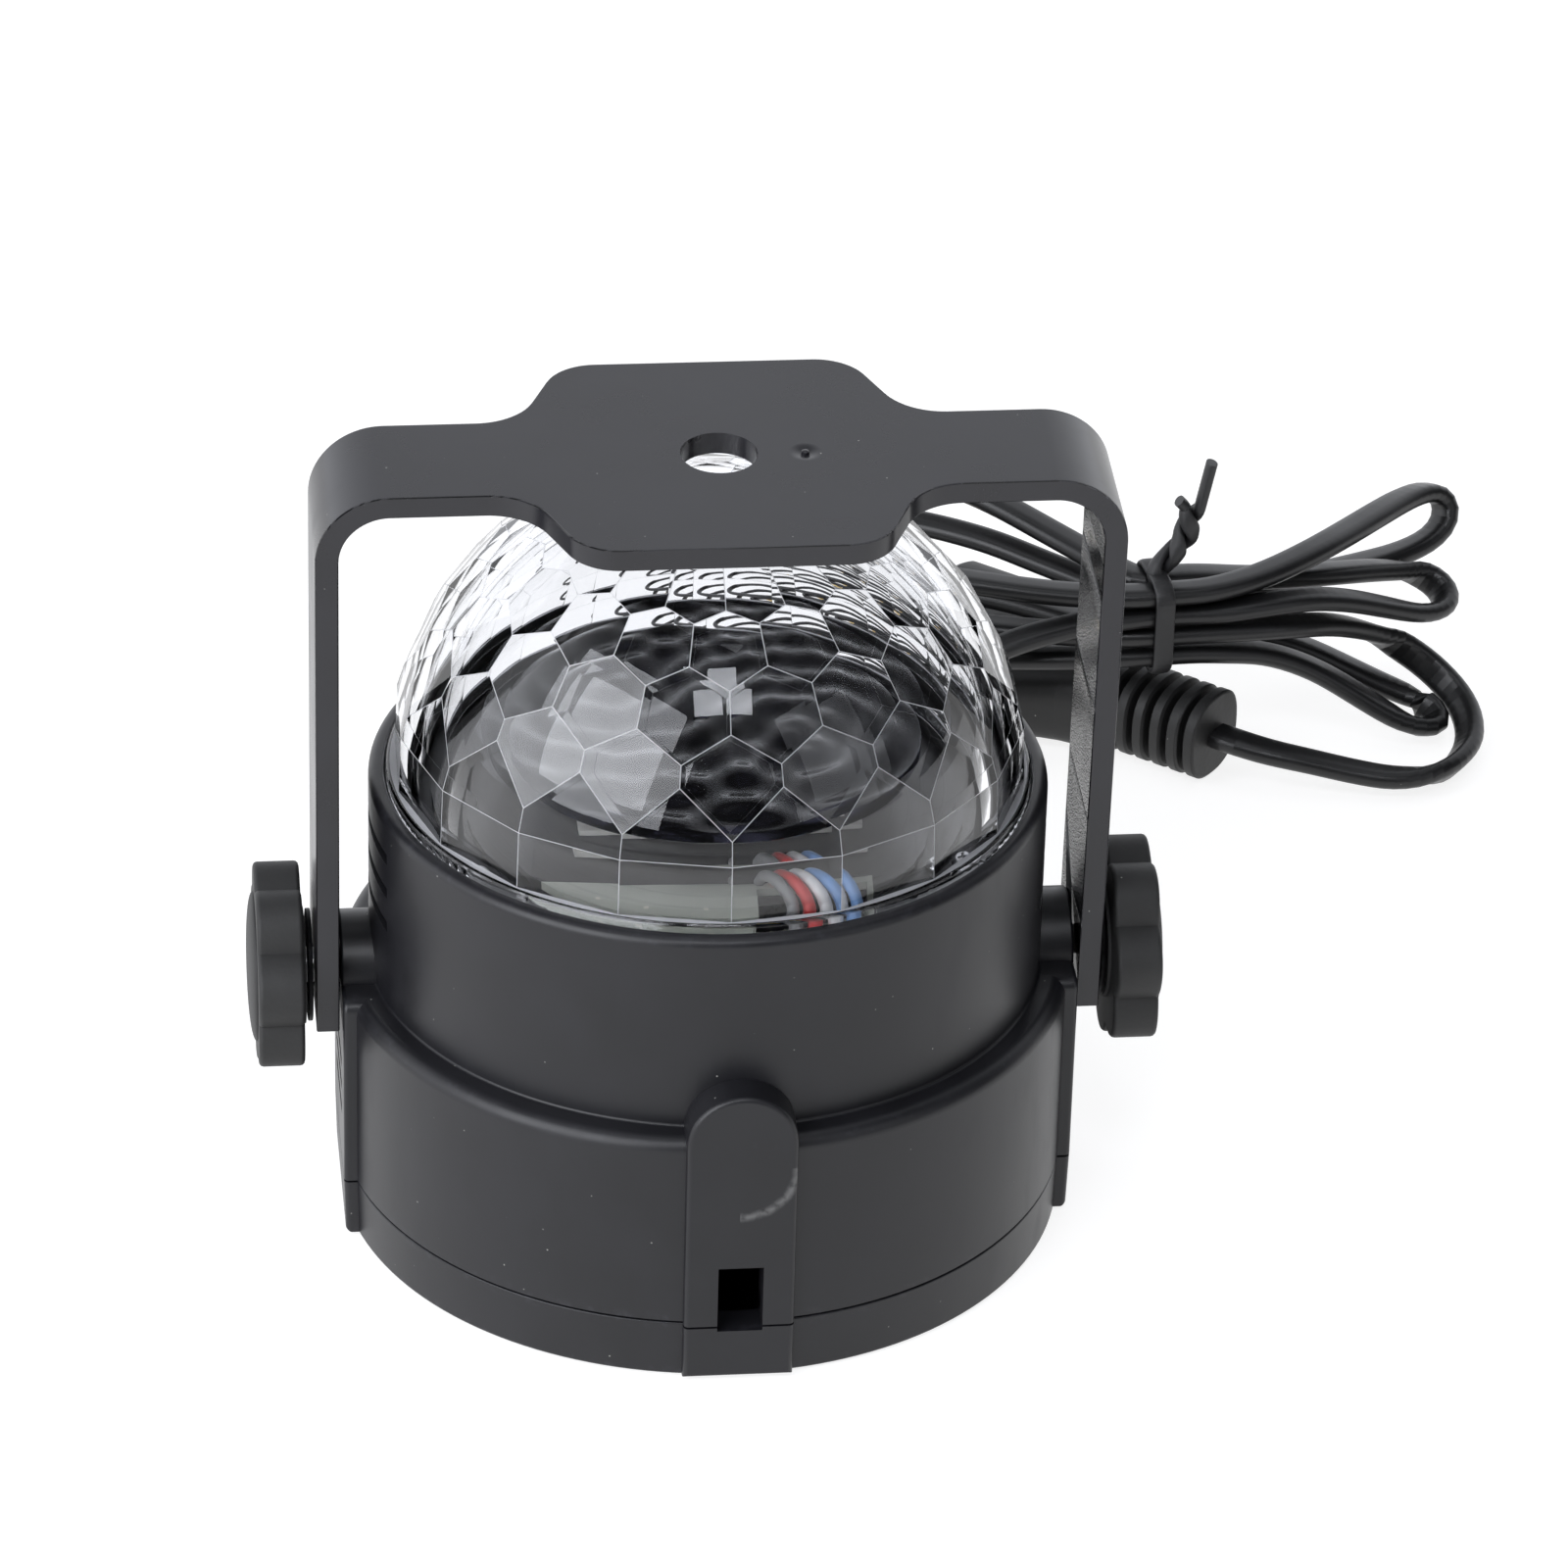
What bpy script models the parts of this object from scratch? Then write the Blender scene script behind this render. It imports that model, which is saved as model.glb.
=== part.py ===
"""Water wave projector lamp: a clear faceted dome on a round casing, held in a tilting bracket.

Metres, +Z up. The lamp stands on its rubber feet at z = 0 with its axis on Z and its front
towards -Y. Its mains cord leaves at the back and lies in a tied hank behind it, on its plug.
"""

import math

import bmesh
import bpy
from mathutils import Matrix, Vector

# Fits and cutters
GAP = 0.0003
OVERRUN = 0.0012
SINK = 0.0005
WELD = 0.000002

# Counts and angles of the round shapes
ROUND_SIDES = 40
HOLLOW_SIDES = 36
PLATE_SIDES = 30
BOSS_SIDES = 20
SMALL_SIDES = 10
TINY_SIDES = 8
SMOOTH_ANGLE = math.radians(30)
TURN_STEP = math.radians(26)
QUARTER = math.pi / 2

# Casing: radii, each step from the band's, and heights, each step from the one below
BAND_RADIUS = 0.0479
LEDGE_WIDTH = 0.0038
BASE_LEAN = 0.0002
NECK_RADIUS = BAND_RADIUS - LEDGE_WIDTH
BASE_RADIUS = BAND_RADIUS - BASE_LEAN
SEAM_Z = 0.0087
BAND_HEIGHT = 0.0272
NECK_HEIGHT = 0.0275
LEDGE_Z = SEAM_Z + BAND_HEIGHT
RIM_Z = LEDGE_Z + NECK_HEIGHT
LEDGE_ROUND = 0.0022
RIM_ROUND = 0.0013
CASING_WALL = 0.0020
SHELF_DROP = 0.0025
SHELF_THICKNESS = 0.0018
SHELF_WIDTH = 0.0031
SHELF_Z = RIM_Z - SHELF_DROP

# Front and rear pads, and the port in the front one
PAD_HALF_WIDTH = 0.0072
PAD_PROUD = 0.0010
PAD_FACE = BAND_RADIUS + PAD_PROUD
PORT_WIDTH = 0.0058
PORT_HEIGHT = 0.0088
PORT_OFFSET = 0.0005

# Side pads, bosses and vents
SIDE_PAD_HALF_WIDTH = 0.0120
SIDE_PAD_PROUD = 0.0002
SIDE_PAD_ROUND = 0.0015
PIVOT_DROP = 0.0010
PIVOT_Z = LEDGE_Z - PIVOT_DROP
BOSS_RADIUS = 0.0072
BOSS_LENGTH = 0.0098
BOSS_FACE_X = BAND_RADIUS + SIDE_PAD_PROUD
BOSS_INNER_X = BOSS_FACE_X - BOSS_LENGTH
VENT_HEIGHT = 0.0015
VENT_LENGTH = 0.0240
VENT_PITCH = 0.0050
VENT_COUNT = 3
NECK_VENT_RISE = 0.0109
NECK_VENT_Z = LEDGE_Z + NECK_VENT_RISE
PAD_VENT_LENGTH = 0.0130
PAD_VENT_PITCH = 0.0036
PAD_VENT_RISE = 0.0070
PAD_VENT_Z = SEAM_Z + PAD_VENT_RISE

# Base cover
FOOT_PROUD = 0.0003
FLOOR_THICKNESS = 0.0025
BASE_EDGE = 0.0004
TONGUE_HEIGHT = 0.0023
TONGUE_WIDTH = 0.0014
BASE_BOSS_RADIUS = 0.0042
BASE_SCREW_INSET = 0.0075
BASE_SCREW_CIRCLE = BAND_RADIUS - BASE_SCREW_INSET
FOOT_RADIUS = 0.0045
FOOT_RECESS = 0.0011
FOOT_INSET = 0.0140
FOOT_CIRCLE = BASE_RADIUS - FOOT_INSET
FOOT_COUNT = 4
FLOOR_TOP_Z = FOOT_PROUD + FLOOR_THICKNESS
TONGUE_TOP_Z = SEAM_Z + TONGUE_HEIGHT

# Self-tapping screws: head radius, head height, shank radius, shank length
BASE_SCREW = (0.0026, 0.0018, 0.0013, 0.0130)
BASE_SCREW_DEPTH = 0.0046
BASE_SCREW_HEAD_Z = TONGUE_TOP_Z - BASE_SCREW_DEPTH
BASE_SCREW_COUNT = 4
CARRIER_SCREW = (0.0023, 0.0014, 0.0012, 0.0070)
MOTOR_SCREW = (0.0022, 0.0013, 0.0011, 0.0026)
POST_RADIUS = 0.0034
RIB_THICKNESS = 0.0016

# Lamp carrier, with the light board on it and the motor under it
CARRIER_DROP = 0.0074
CARRIER_Z = RIM_Z - CARRIER_DROP
CARRIER_CLEARANCE = 0.0036
CARRIER_RADIUS = NECK_RADIUS - CASING_WALL - CARRIER_CLEARANCE
CARRIER_THICKNESS = 0.0016
CARRIER_SCREW_INSET = 0.0032
CARRIER_SCREW_CIRCLE = CARRIER_RADIUS - CARRIER_SCREW_INSET
CARRIER_SCREW_COUNT = 3
CARRIER_POST_RADIUS = 0.0028
CARRIER_POST_LENGTH = 0.0120
BOARD_THICKNESS = 0.0014
LIGHT_BOARD_INSET = 0.0070
LIGHT_BOARD_RADIUS = CARRIER_RADIUS - LIGHT_BOARD_INSET
LIGHT_BOARD_Z = CARRIER_Z + CARRIER_THICKNESS + GAP
LIGHT_BOARD_TOP_Z = LIGHT_BOARD_Z + BOARD_THICKNESS
WIRE_SLOT_LEFT = 0.0030
WIRE_SLOT_RIGHT = 0.0170
WIRE_SLOT_INSET = 0.0030
WIRE_SLOT_LENGTH = 0.0130
WIRE_SLOT_FRONT = CARRIER_RADIUS - WIRE_SLOT_INSET
WIRE_SLOT_BACK = WIRE_SLOT_FRONT - WIRE_SLOT_LENGTH
EMITTER_SIDE = 0.0086
EMITTER_BASE = 0.0010
EMITTER_RADIUS = 0.0031
EMITTER_CIRCLE = 0.0150
EMITTERS = ("red", "green", "blue")

# Faceted dome: one row is (normal elevation, facets, half step of azimuth, inset)
DOME_INSET = 0.0032
DOME_RADIUS = NECK_RADIUS - DOME_INSET
DOME_WALL = 0.0024
DOME_RISE = 0.0001
DOME_CENTRE_Z = RIM_Z + DOME_RISE
DOME_FLANGE_WIDTH = 0.0009
DOME_FLANGE_RADIUS = DOME_RADIUS + DOME_FLANGE_WIDTH
DOME_FLANGE_PROUD = 0.0009
DOME_TURN = math.radians(-1.4)
DOME_CUT_FINE = 0.000003
SKIRT_INSET = 0.0005
DOME_ROWS = (
    (2, 18, True, SKIRT_INSET),
    (16.5, 18, True, 0),
    (26, 18, False, 0),
    (39, 18, True, 0),
    (51, 18, False, 0),
    (62, 18, True, 0),
    (73, 9, True, 0),
    (90, 1, False, 0),
)
DOME_INNER_STEPS = 8

# Gear motor and the turning wave lens
MOTOR_RADIUS = 0.0135
MOTOR_CAN_RADIUS = 0.0100
MOTOR_GEARBOX_HEIGHT = 0.0110
MOTOR_CAN_HEIGHT = 0.0080
MOTOR_NOSE_RADIUS = 0.0038
MOTOR_NOSE_HEIGHT = 0.0015
MOTOR_EAR_HALF_WIDTH = 0.0034
MOTOR_EAR_THICKNESS = 0.0012
MOTOR_EAR_REACH = 0.0055
MOTOR_EAR_END = MOTOR_RADIUS + MOTOR_EAR_REACH
MOTOR_SCREW_INSET = 0.0030
MOTOR_SCREW_X = MOTOR_EAR_END - MOTOR_SCREW_INSET
SHAFT_RADIUS = 0.0015
SHAFT_IN_MOTOR = 0.0050
HUB_RADIUS = 0.0045
HUB_HEIGHT = 0.0060
HUB_RISE = 0.0055
HUB_Z = CARRIER_Z + HUB_RISE
LENS_INSET = 0.0129
LENS_RADIUS = DOME_RADIUS - LENS_INSET
LENS_THICKNESS = 0.0024
RIPPLE_HEIGHT = 0.0006
RIPPLE_RINGS = 8
RIPPLE_LENGTH = 0.0085
RIPPLE_SHIFT = 0.0110
LENS_Z = HUB_Z + HUB_HEIGHT + GAP

# Control board and what is soldered to it
CONTROL_BOARD_RISE = 0.0052
CONTROL_BOARD_Z = FLOOR_TOP_Z + CONTROL_BOARD_RISE
CONTROL_BOARD_SIDE = 0.0490
STANDOFF_RADIUS = 0.0026
PEG_RADIUS = 0.0011
STANDOFF_INSET = 0.0055
STANDOFF_OFFSET = CONTROL_BOARD_SIDE / 2 - STANDOFF_INSET
CONTROL_BOARD_TOP_Z = CONTROL_BOARD_Z + BOARD_THICKNESS
# Width, depth and height, then the centre in X and Y
CONTROLLER_CHIP = ((0.0100, 0.0060, 0.0018), (-0.0020, 0.0060))
DRIVER_CHIP = ((0.0050, 0.0040, 0.0015), (0.0020, -0.0100))
RECEIVER = ((0.0056, 0.0040, 0.0068), (PORT_OFFSET, -0.0215))
RECEIVER_LENS_RADIUS = 0.0021
TRANSFORMER = ((0.0150, 0.0130, 0.0125), (0.0112, 0.0100))
TRANSFORMER_WAIST = 0.0030
CONNECTOR = ((0.0100, 0.0050, 0.0058), (0.0105, -0.0140))
CAPACITOR_RADIUS = 0.0040
CAPACITOR_HEIGHT = 0.0130
CAPACITOR_PLACE = (-0.0155, 0.0100)
MICROPHONE_RADIUS = 0.0030
MICROPHONE_HEIGHT = 0.0036
MICROPHONE_PLACE = (-0.0120, -0.0185)

# Wires inside
WIRE_RADIUS = 0.00065
WIRE_LIFT = 0.0042
WIRE_COLOURS = ("grey", "red", "white", "blue")
WIRE_PITCH = 0.0024
WIRE_BOARD_INSET = 0.0020
WIRE_BOARD_Y = WIRE_BOARD_INSET - WIRE_SLOT_BACK
WIRE_SLOT_Y = -(WIRE_SLOT_FRONT + WIRE_SLOT_BACK) / 2
CORE_RADIUS = 0.0010
CORE_SPACING = 0.0036
CORE_BOARD_PLACE = (0.0070, 0.0215)

# Bracket
BRACKET_THICKNESS = 0.0030
BRACKET_HALF_WIDTH = BOSS_FACE_X + GAP + BRACKET_THICKNESS
BRACKET_CLEARANCE = 0.0070
BRACKET_RISE = DOME_CENTRE_Z + DOME_RADIUS + BRACKET_CLEARANCE - PIVOT_Z
BRACKET_BEND = 0.0095
BRACKET_TILT = math.radians(3.3)
ARM_HALF_DEPTH = 0.0089
PLATE_HALF_DEPTH = 0.0228
PLATE_END_INSET = 0.0213
SHOULDER_TURN = math.radians(66)
SHOULDER_HOLLOW = 0.0082
SHOULDER_ROUND = 0.0070
SHOULDER_ARCS = SHOULDER_HOLLOW + SHOULDER_ROUND
SHOULDER_STEP = PLATE_HALF_DEPTH - ARM_HALF_DEPTH - SHOULDER_ARCS * (1 - math.cos(SHOULDER_TURN))
PLATE_SHOULDER = SHOULDER_ARCS * math.sin(SHOULDER_TURN) + SHOULDER_STEP / math.tan(SHOULDER_TURN)
PLATE_END_X = BRACKET_HALF_WIDTH - PLATE_END_INSET
PLATE_FULL_X = PLATE_END_X - PLATE_SHOULDER
LEG_DROP = 0.0047
HANGING_HOLE_RADIUS = 0.0049
BRACKET_EDGE = 0.0004
BEND_STEPS = 5
SHOULDER_STEPS = 5

# Knobs, studs, washers and inserts
KNOB_RADIUS = 0.0126
KNOB_LOBES = 7
KNOB_LOBE_DEPTH = 0.0009
KNOB_THICKNESS = 0.0071
KNOB_EDGE = 0.0011
KNOB_DOME = 0.0007
KNOB_POINTS = 42
HUB_FACE_RADIUS = 0.0077
HUB_FACE_HEIGHT = 0.0004
STUD_RADIUS = 0.0024
STUD_LENGTH = 0.0160
STUD_IN_KNOB = 0.0040
STUD_CLEARANCE = 0.0005
WASHER_RADIUS = 0.0072
WASHER_THICKNESS = 0.0006
INSERT_RADIUS = 0.0036
INSERT_LENGTH = 0.0080
WASHER_X = BRACKET_HALF_WIDTH + GAP
HUB_FACE_X = WASHER_X + WASHER_THICKNESS + GAP
KNOB_X = HUB_FACE_X + HUB_FACE_HEIGHT
STUD_END_X = KNOB_X + STUD_IN_KNOB

# Cord gland at the back
GLAND_RISE = 0.0048
GLAND_Z = SEAM_Z + GLAND_RISE
GLAND_HOLE_RADIUS = 0.0042
GLAND_COLLAR_RADIUS = 0.0056
GLAND_COLLAR = 0.0015
GLAND_INNER_COLLAR = 0.0019
GLAND_INNER_Y = BAND_RADIUS - CASING_WALL - GLAND_INNER_COLLAR
GLAND_TAIL_ROOT = 0.0044
GLAND_TAIL_TIP = 0.0030
GLAND_TAIL_LENGTH = 0.0130
GLAND_END_Y = PAD_FACE + GAP + GLAND_COLLAR + GLAND_TAIL_LENGTH

# Plug: a flat two-pin body with a ribbed strain relief, lying behind the lamp
CORD_RADIUS = 0.0019
FLOOR_REST = 0.0002
PLUG_CORD_END = (0.0850, 0.1010)
PLUG_HEADING = math.radians(140)
PLUG_HALF_HEIGHT = 0.0066
PLUG_HALF_WIDTH = 0.0176
PLUG_THROAT_HALF_WIDTH = 0.0080
PLUG_STRAIGHT = 0.0140
PLUG_TAPER = 0.0220
PLUG_EDGE = 0.0030
RELIEF_RIBS = 6
RELIEF_PITCH = 0.0029
RELIEF_RIB_RADIUS = 0.0065
RELIEF_GROOVE_RADIUS = 0.0048
RELIEF_GROOVE_WIDTH = 0.0009
PIN_RADIUS = 0.0020
PIN_LENGTH = 0.0190
PIN_SPACING = 0.0186
PIN_SEAT = 0.0040
PLUG_SIDES = 12
PLUG_Z = PLUG_HALF_HEIGHT + FLOOR_REST
RELIEF_LENGTH = RELIEF_RIBS * RELIEF_PITCH

# Hank of cord: the waist where the tie holds it, and the places of its strands there
WAIST = (0.0763, 0.1090)
WAIST_TURN = math.radians(8)
SLOT_SPACING = 0.0050
LAYER_PITCH = 0.0044
LOW_Z = 0.0024
LEFT_FALL = (0.0500, -0.0300)
CORD_STEP = 0.0085
FRONT, BACK = -1, 1
LEFTWARD, RIGHTWARD = -1, 1
WAIST_HALF_LENGTH = 0.0018
# The lead from the plug, and each loop right of the waist, as points that it runs through
PLUG_LEAD = (
    (0.0923, 0.0966, 0.0061),
    (0.0980, 0.0957, 0.0050),
    (0.1046, 0.0946, 0.0036),
    (0.1116, 0.0937, 0.0028),
    (0.1181, 0.0956, 0.0026),
    (0.1224, 0.1012, 0.0028),
    (0.1242, 0.1076, 0.0035),
    (0.1231, 0.1140, 0.0050),
    (0.1192, 0.1181, 0.0080),
    (0.1131, 0.1186, 0.0122),
    (0.1054, 0.1143, 0.0170),
    (0.0970, 0.1092, 0.0206),
    (0.0880, 0.1074, 0.0217),
)
LOW_LOOP = (
    (0.0840, 0.1126, 0.0173),
    (0.0920, 0.1152, 0.0156),
    (0.1000, 0.1169, 0.0122),
    (0.1070, 0.1164, 0.0086),
    (0.1132, 0.1150, 0.0058),
    (0.1178, 0.1138, 0.0042),
    (0.1198, 0.1107, 0.0031),
    (0.1184, 0.1076, 0.0026),
    (0.1144, 0.1080, 0.0038),
    (0.1082, 0.1098, 0.0074),
    (0.1012, 0.1107, 0.0116),
    (0.0940, 0.1099, 0.0150),
    (0.0860, 0.1079, 0.0169),
)
TOP_LOOP = (
    (0.0840, 0.1136, 0.0252),
    (0.0920, 0.1180, 0.0228),
    (0.1010, 0.1236, 0.0204),
    (0.1090, 0.1286, 0.0190),
    (0.1160, 0.1326, 0.0184),
    (0.1214, 0.1356, 0.0190),
    (0.1248, 0.1380, 0.0208),
    (0.1254, 0.1396, 0.0234),
    (0.1228, 0.1394, 0.0256),
    (0.1176, 0.1352, 0.0266),
    (0.1100, 0.1270, 0.0274),
    (0.1010, 0.1176, 0.0292),
    (0.0920, 0.1109, 0.0304),
    (0.0840, 0.1074, 0.0308),
)
MIDDLE_LOOP = (
    (0.0840, 0.1131, 0.0298),
    (0.0920, 0.1148, 0.0272),
    (0.1010, 0.1190, 0.0238),
    (0.1090, 0.1233, 0.0212),
    (0.1150, 0.1268, 0.0192),
    (0.1196, 0.1284, 0.0176),
    (0.1226, 0.1266, 0.0160),
    (0.1226, 0.1228, 0.0152),
    (0.1190, 0.1193, 0.0158),
    (0.1125, 0.1162, 0.0188),
    (0.1060, 0.1132, 0.0222),
    (0.0980, 0.1098, 0.0254),
    (0.0900, 0.1076, 0.0263),
    (0.0840, 0.1070, 0.0262),
)
# Each loop left of the waist: its heading, reach, half width, first layer and last layer
LEFT_LOOPS = (
    (math.radians(159), 0.0560, 0.0100, 1, 0),
    (math.radians(160), 0.0670, 0.0150, 0, 2),
    (math.radians(154), 0.0770, 0.0190, 3, 3),
)
LEFT_SHARES = (0.14, 0.22, 0.30, 0.38, 0.45, 0.55, 0.62, 0.70, 0.78, 0.86)
LAYER_CHANGE_SHARES = (0.3, 0.7)
TAIL_LAYER = 2
TOP_LAYER = 3
# The tail from the waist down to the floor, and the free stretch from the gland to it
HANK_TAIL = (
    (0.0660, 0.1046, 0.0262),
    (0.0560, 0.1014, 0.0246),
    (0.0460, 0.0988, 0.0205),
    (0.0360, 0.0972, 0.0146),
    (0.0270, 0.0967, 0.0086),
    (0.0200, 0.0967, 0.0044),
)
HANK_END = (0.0120, 0.0968, 0.0022)
LAMP_LEAD = (
    (0.0000, 0.0735, 0.0100),
    (0.0000, 0.0795, 0.0060),
    (0.0006, 0.0860, 0.0032),
    (0.0032, 0.0923, 0.0022),
)
STRETCH_STEP = 0.0060
LEAST_GAP = 0.0004
NEIGHBOUR_LENGTH = 0.0080

# Tie round the hank
TIE_RADIUS = 0.0008
TIE_TAIL_HEIGHT = 0.0110
TIE_TAIL_LEAN = 0.0055
TIE_TWISTS = 1.5
TIE_TAIL_STEPS = 10
TIE_BEND = 0.0026
WAIST_Z = PLUG_Z + RELIEF_RIB_RADIUS + 3 * GAP + 2 * TIE_RADIUS + CORD_RADIUS

FINISHES = {
    "casing_plastic": ((0.045, 0.045, 0.050), 0.42, 0.0),
    "bracket_plastic": ((0.075, 0.075, 0.082), 0.45, 0.0),
    "knob_plastic": ((0.036, 0.035, 0.034), 0.62, 0.0),
    "clear_plastic": ((0.85, 0.88, 0.92), 0.05, 0.0),
    "carrier_plastic": ((0.030, 0.030, 0.032), 0.50, 0.0),
    "white_board": ((0.72, 0.73, 0.68), 0.40, 0.0),
    "green_board": ((0.045, 0.160, 0.070), 0.40, 0.0),
    "chip_black": ((0.020, 0.020, 0.022), 0.40, 0.0),
    "steel": ((0.55, 0.55, 0.56), 0.30, 1.0),
    "brass": ((0.72, 0.53, 0.22), 0.28, 1.0),
    "rubber": ((0.022, 0.022, 0.023), 0.80, 0.0),
    "cord_vinyl": ((0.018, 0.018, 0.019), 0.38, 0.0),
    "white_nylon": ((0.80, 0.79, 0.74), 0.45, 0.0),
    "yellow_tape": ((0.75, 0.58, 0.10), 0.50, 0.0),
    "wire_grey": ((0.35, 0.35, 0.36), 0.45, 0.0),
    "wire_red": ((0.62, 0.03, 0.03), 0.42, 0.0),
    "wire_white": ((0.80, 0.80, 0.80), 0.42, 0.0),
    "wire_blue": ((0.20, 0.40, 0.75), 0.42, 0.0),
    "wire_brown": ((0.20, 0.09, 0.04), 0.42, 0.0),
}


def clear_scene():
    for obj in list(bpy.data.objects):
        bpy.data.objects.remove(obj, do_unlink=True)


def finish(name):
    """The Principled material of that name, made on first use."""
    material = bpy.data.materials.get(name)
    if material is None:
        colour, roughness, metallic = FINISHES[name]
        material = bpy.data.materials.new(name)
        material.use_nodes = True
        shader = material.node_tree.nodes["Principled BSDF"]
        shader.inputs["Base Color"].default_value = (*colour, 1)
        shader.inputs["Roughness"].default_value = roughness
        shader.inputs["Metallic"].default_value = metallic
    return material


def add_object(name, bm, finish_name):
    """A named object made from a bmesh, with smooth shading and its material."""
    mesh = bpy.data.meshes.new(name)
    bm.to_mesh(mesh)
    bm.free()
    mesh.materials.append(finish(finish_name))
    mesh.shade_smooth()
    mesh.set_sharp_from_angle(angle=SMOOTH_ANGLE)
    obj = bpy.data.objects.new(name, mesh)
    bpy.context.scene.collection.objects.link(obj)
    return obj


def add_empty(name, place):
    """An empty at a place on a joint's axis, for the moving pieces to hang on."""
    empty = bpy.data.objects.new(name, None)
    empty.location = place
    bpy.context.scene.collection.objects.link(empty)
    return empty


def add_boolean(obj, operation, shapes):
    """Cuts the shapes from the object, or joins them to it, with one hidden tool."""
    tool_name = f"{obj.name}_{operation.lower()}_{len(obj.modifiers)}"
    mesh = bpy.data.meshes.new(tool_name)
    joined(shapes).to_mesh(mesh)
    tool = bpy.data.objects.new(tool_name, mesh)
    bpy.context.scene.collection.objects.link(tool)
    tool.hide_render = True
    tool.display_type = "WIRE"
    modifier = obj.modifiers.new(tool_name, "BOOLEAN")
    modifier.solver = "EXACT"
    modifier.use_self = True
    modifier.operation = operation
    modifier.object = tool


def joined(shapes):
    """One bmesh that holds the faces of several."""
    whole = bmesh.new()
    for shape in shapes:
        mesh = bpy.data.meshes.new("joined")
        shape.to_mesh(mesh)
        shape.free()
        whole.from_mesh(mesh)
        bpy.data.meshes.remove(mesh)
    return whole


def moved(bm, offset):
    bmesh.ops.translate(bm, vec=offset, verts=bm.verts)
    return bm


def turned(bm, angle, axis):
    bmesh.ops.rotate(bm, cent=(0, 0, 0), matrix=Matrix.Rotation(angle, 3, axis), verts=bm.verts)
    return bm


def on_circle(radius, azimuth, height=0.0):
    return Vector((radius * math.cos(azimuth), radius * math.sin(azimuth), height))


def around(count, start=0.0):
    """Evenly spaced azimuths in a full turn."""
    return [start + math.tau * i / count for i in range(count)]


def arc(centre, radius, first, last, steps):
    """Points of an arc in a plane, from one angle to another."""
    angles = [first + (last - first) * i / steps for i in range(steps + 1)]
    return [(centre[0] + radius * math.cos(a), centre[1] + radius * math.sin(a)) for a in angles]


def mixed(first, last, share):
    return first + (last - first) * share


def eased(share):
    """A share from 0 to 1 that starts and ends level."""
    share = min(max(share, 0.0), 1.0)
    return share * share * (3 - 2 * share)


def lathe(profile, sides=ROUND_SIDES):
    """A solid turned about Z; a profile that is off the axis at both ends is closed to a ring."""
    bm = bmesh.new()
    verts = [bm.verts.new((radius, 0, height)) for radius, height in profile]
    edges = [bm.edges.new(pair) for pair in zip(verts, verts[1:])]
    if profile[0][0] and profile[-1][0]:
        edges.append(bm.edges.new((verts[-1], verts[0])))
    bmesh.ops.spin(
        bm, geom=verts + edges, cent=(0, 0, 0), axis=(0, 0, 1), angle=math.tau,
        steps=sides, use_merge=True,
    )
    bmesh.ops.remove_doubles(bm, verts=bm.verts, dist=WELD)
    bmesh.ops.recalc_face_normals(bm, faces=bm.faces)
    return bm


def disc(radius, low, high, sides=SMALL_SIDES):
    return lathe([(0, low), (radius, low), (radius, high), (0, high)], sides)


def ring(inner, outer, low, high, sides=SMALL_SIDES):
    return lathe([(inner, low), (outer, low), (outer, high), (inner, high)], sides)


def block(low, high):
    """A box between two corners."""
    bm = bmesh.new()
    bmesh.ops.create_cube(bm, size=1)
    size = Vector(high) - Vector(low)
    bmesh.ops.scale(bm, vec=size, verts=bm.verts)
    return moved(bm, (Vector(high) + Vector(low)) / 2)


def chip(size, place, low):
    """A box of that size that stands at a place on a board."""
    half = Vector((size[0] / 2, size[1] / 2, 0))
    centre = Vector((*place, low))
    return block(centre - half, centre + half + Vector((0, 0, size[2])))


def prism(outline, low, high):
    """An outline in X and Y, extruded up from one height to another."""
    bm = bmesh.new()
    face = bm.faces.new([bm.verts.new((x, y, low)) for x, y in outline])
    raised = bmesh.ops.extrude_face_region(bm, geom=[face])["geom"]
    tops = [item for item in raised if isinstance(item, bmesh.types.BMVert)]
    bmesh.ops.translate(bm, vec=(0, 0, high - low), verts=tops)
    bmesh.ops.recalc_face_normals(bm, faces=bm.faces)
    return bm


def loft(rings):
    """A closed skin over rings of as many points, with flat ends."""
    bm = bmesh.new()
    rows = [[bm.verts.new(point) for point in points] for points in rings]
    for near, far in zip(rows, rows[1:]):
        for i in range(len(near)):
            bm.faces.new((near[i - 1], near[i], far[i], far[i - 1]))
    bm.faces.new(rows[0])
    bm.faces.new(rows[-1])
    bmesh.ops.recalc_face_normals(bm, faces=bm.faces)
    return bm


def radial_rib(azimuth, inner, outer, low, high):
    """An upright rib that runs outwards from the axis."""
    half = RIB_THICKNESS / 2
    return turned(block((inner, -half, low), (outer, half, high)), azimuth, "Z")


def add_tube(name, points, radius, finish_name, bevel_resolution):
    """A round cord or wire along the points."""
    curve = bpy.data.curves.new(name, "CURVE")
    curve.dimensions = "3D"
    curve.bevel_depth = radius
    curve.bevel_resolution = bevel_resolution
    curve.use_fill_caps = True
    spline = curve.splines.new("POLY")
    spline.points.add(len(points) - 1)
    for target, point in zip(spline.points, points):
        target.co = (*point, 1)
    curve.materials.append(finish(finish_name))
    obj = bpy.data.objects.new(name, curve)
    bpy.context.scene.collection.objects.link(obj)
    return obj


def smooth_route(points, step):
    """Points a step apart on a smooth curve through the route's, whose end spans stay straight."""
    fine = []
    for i in range(1, len(points) - 2):
        before, first, last, after = points[i - 1 : i + 3]
        count = max(2, math.ceil((last - first).length / step * 4))
        fine += [curve_point(before, first, last, after, k / count) for k in range(count)]
    return [points[0]] + evenly(fine + [points[-2]], step) + [points[-1]]


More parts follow.
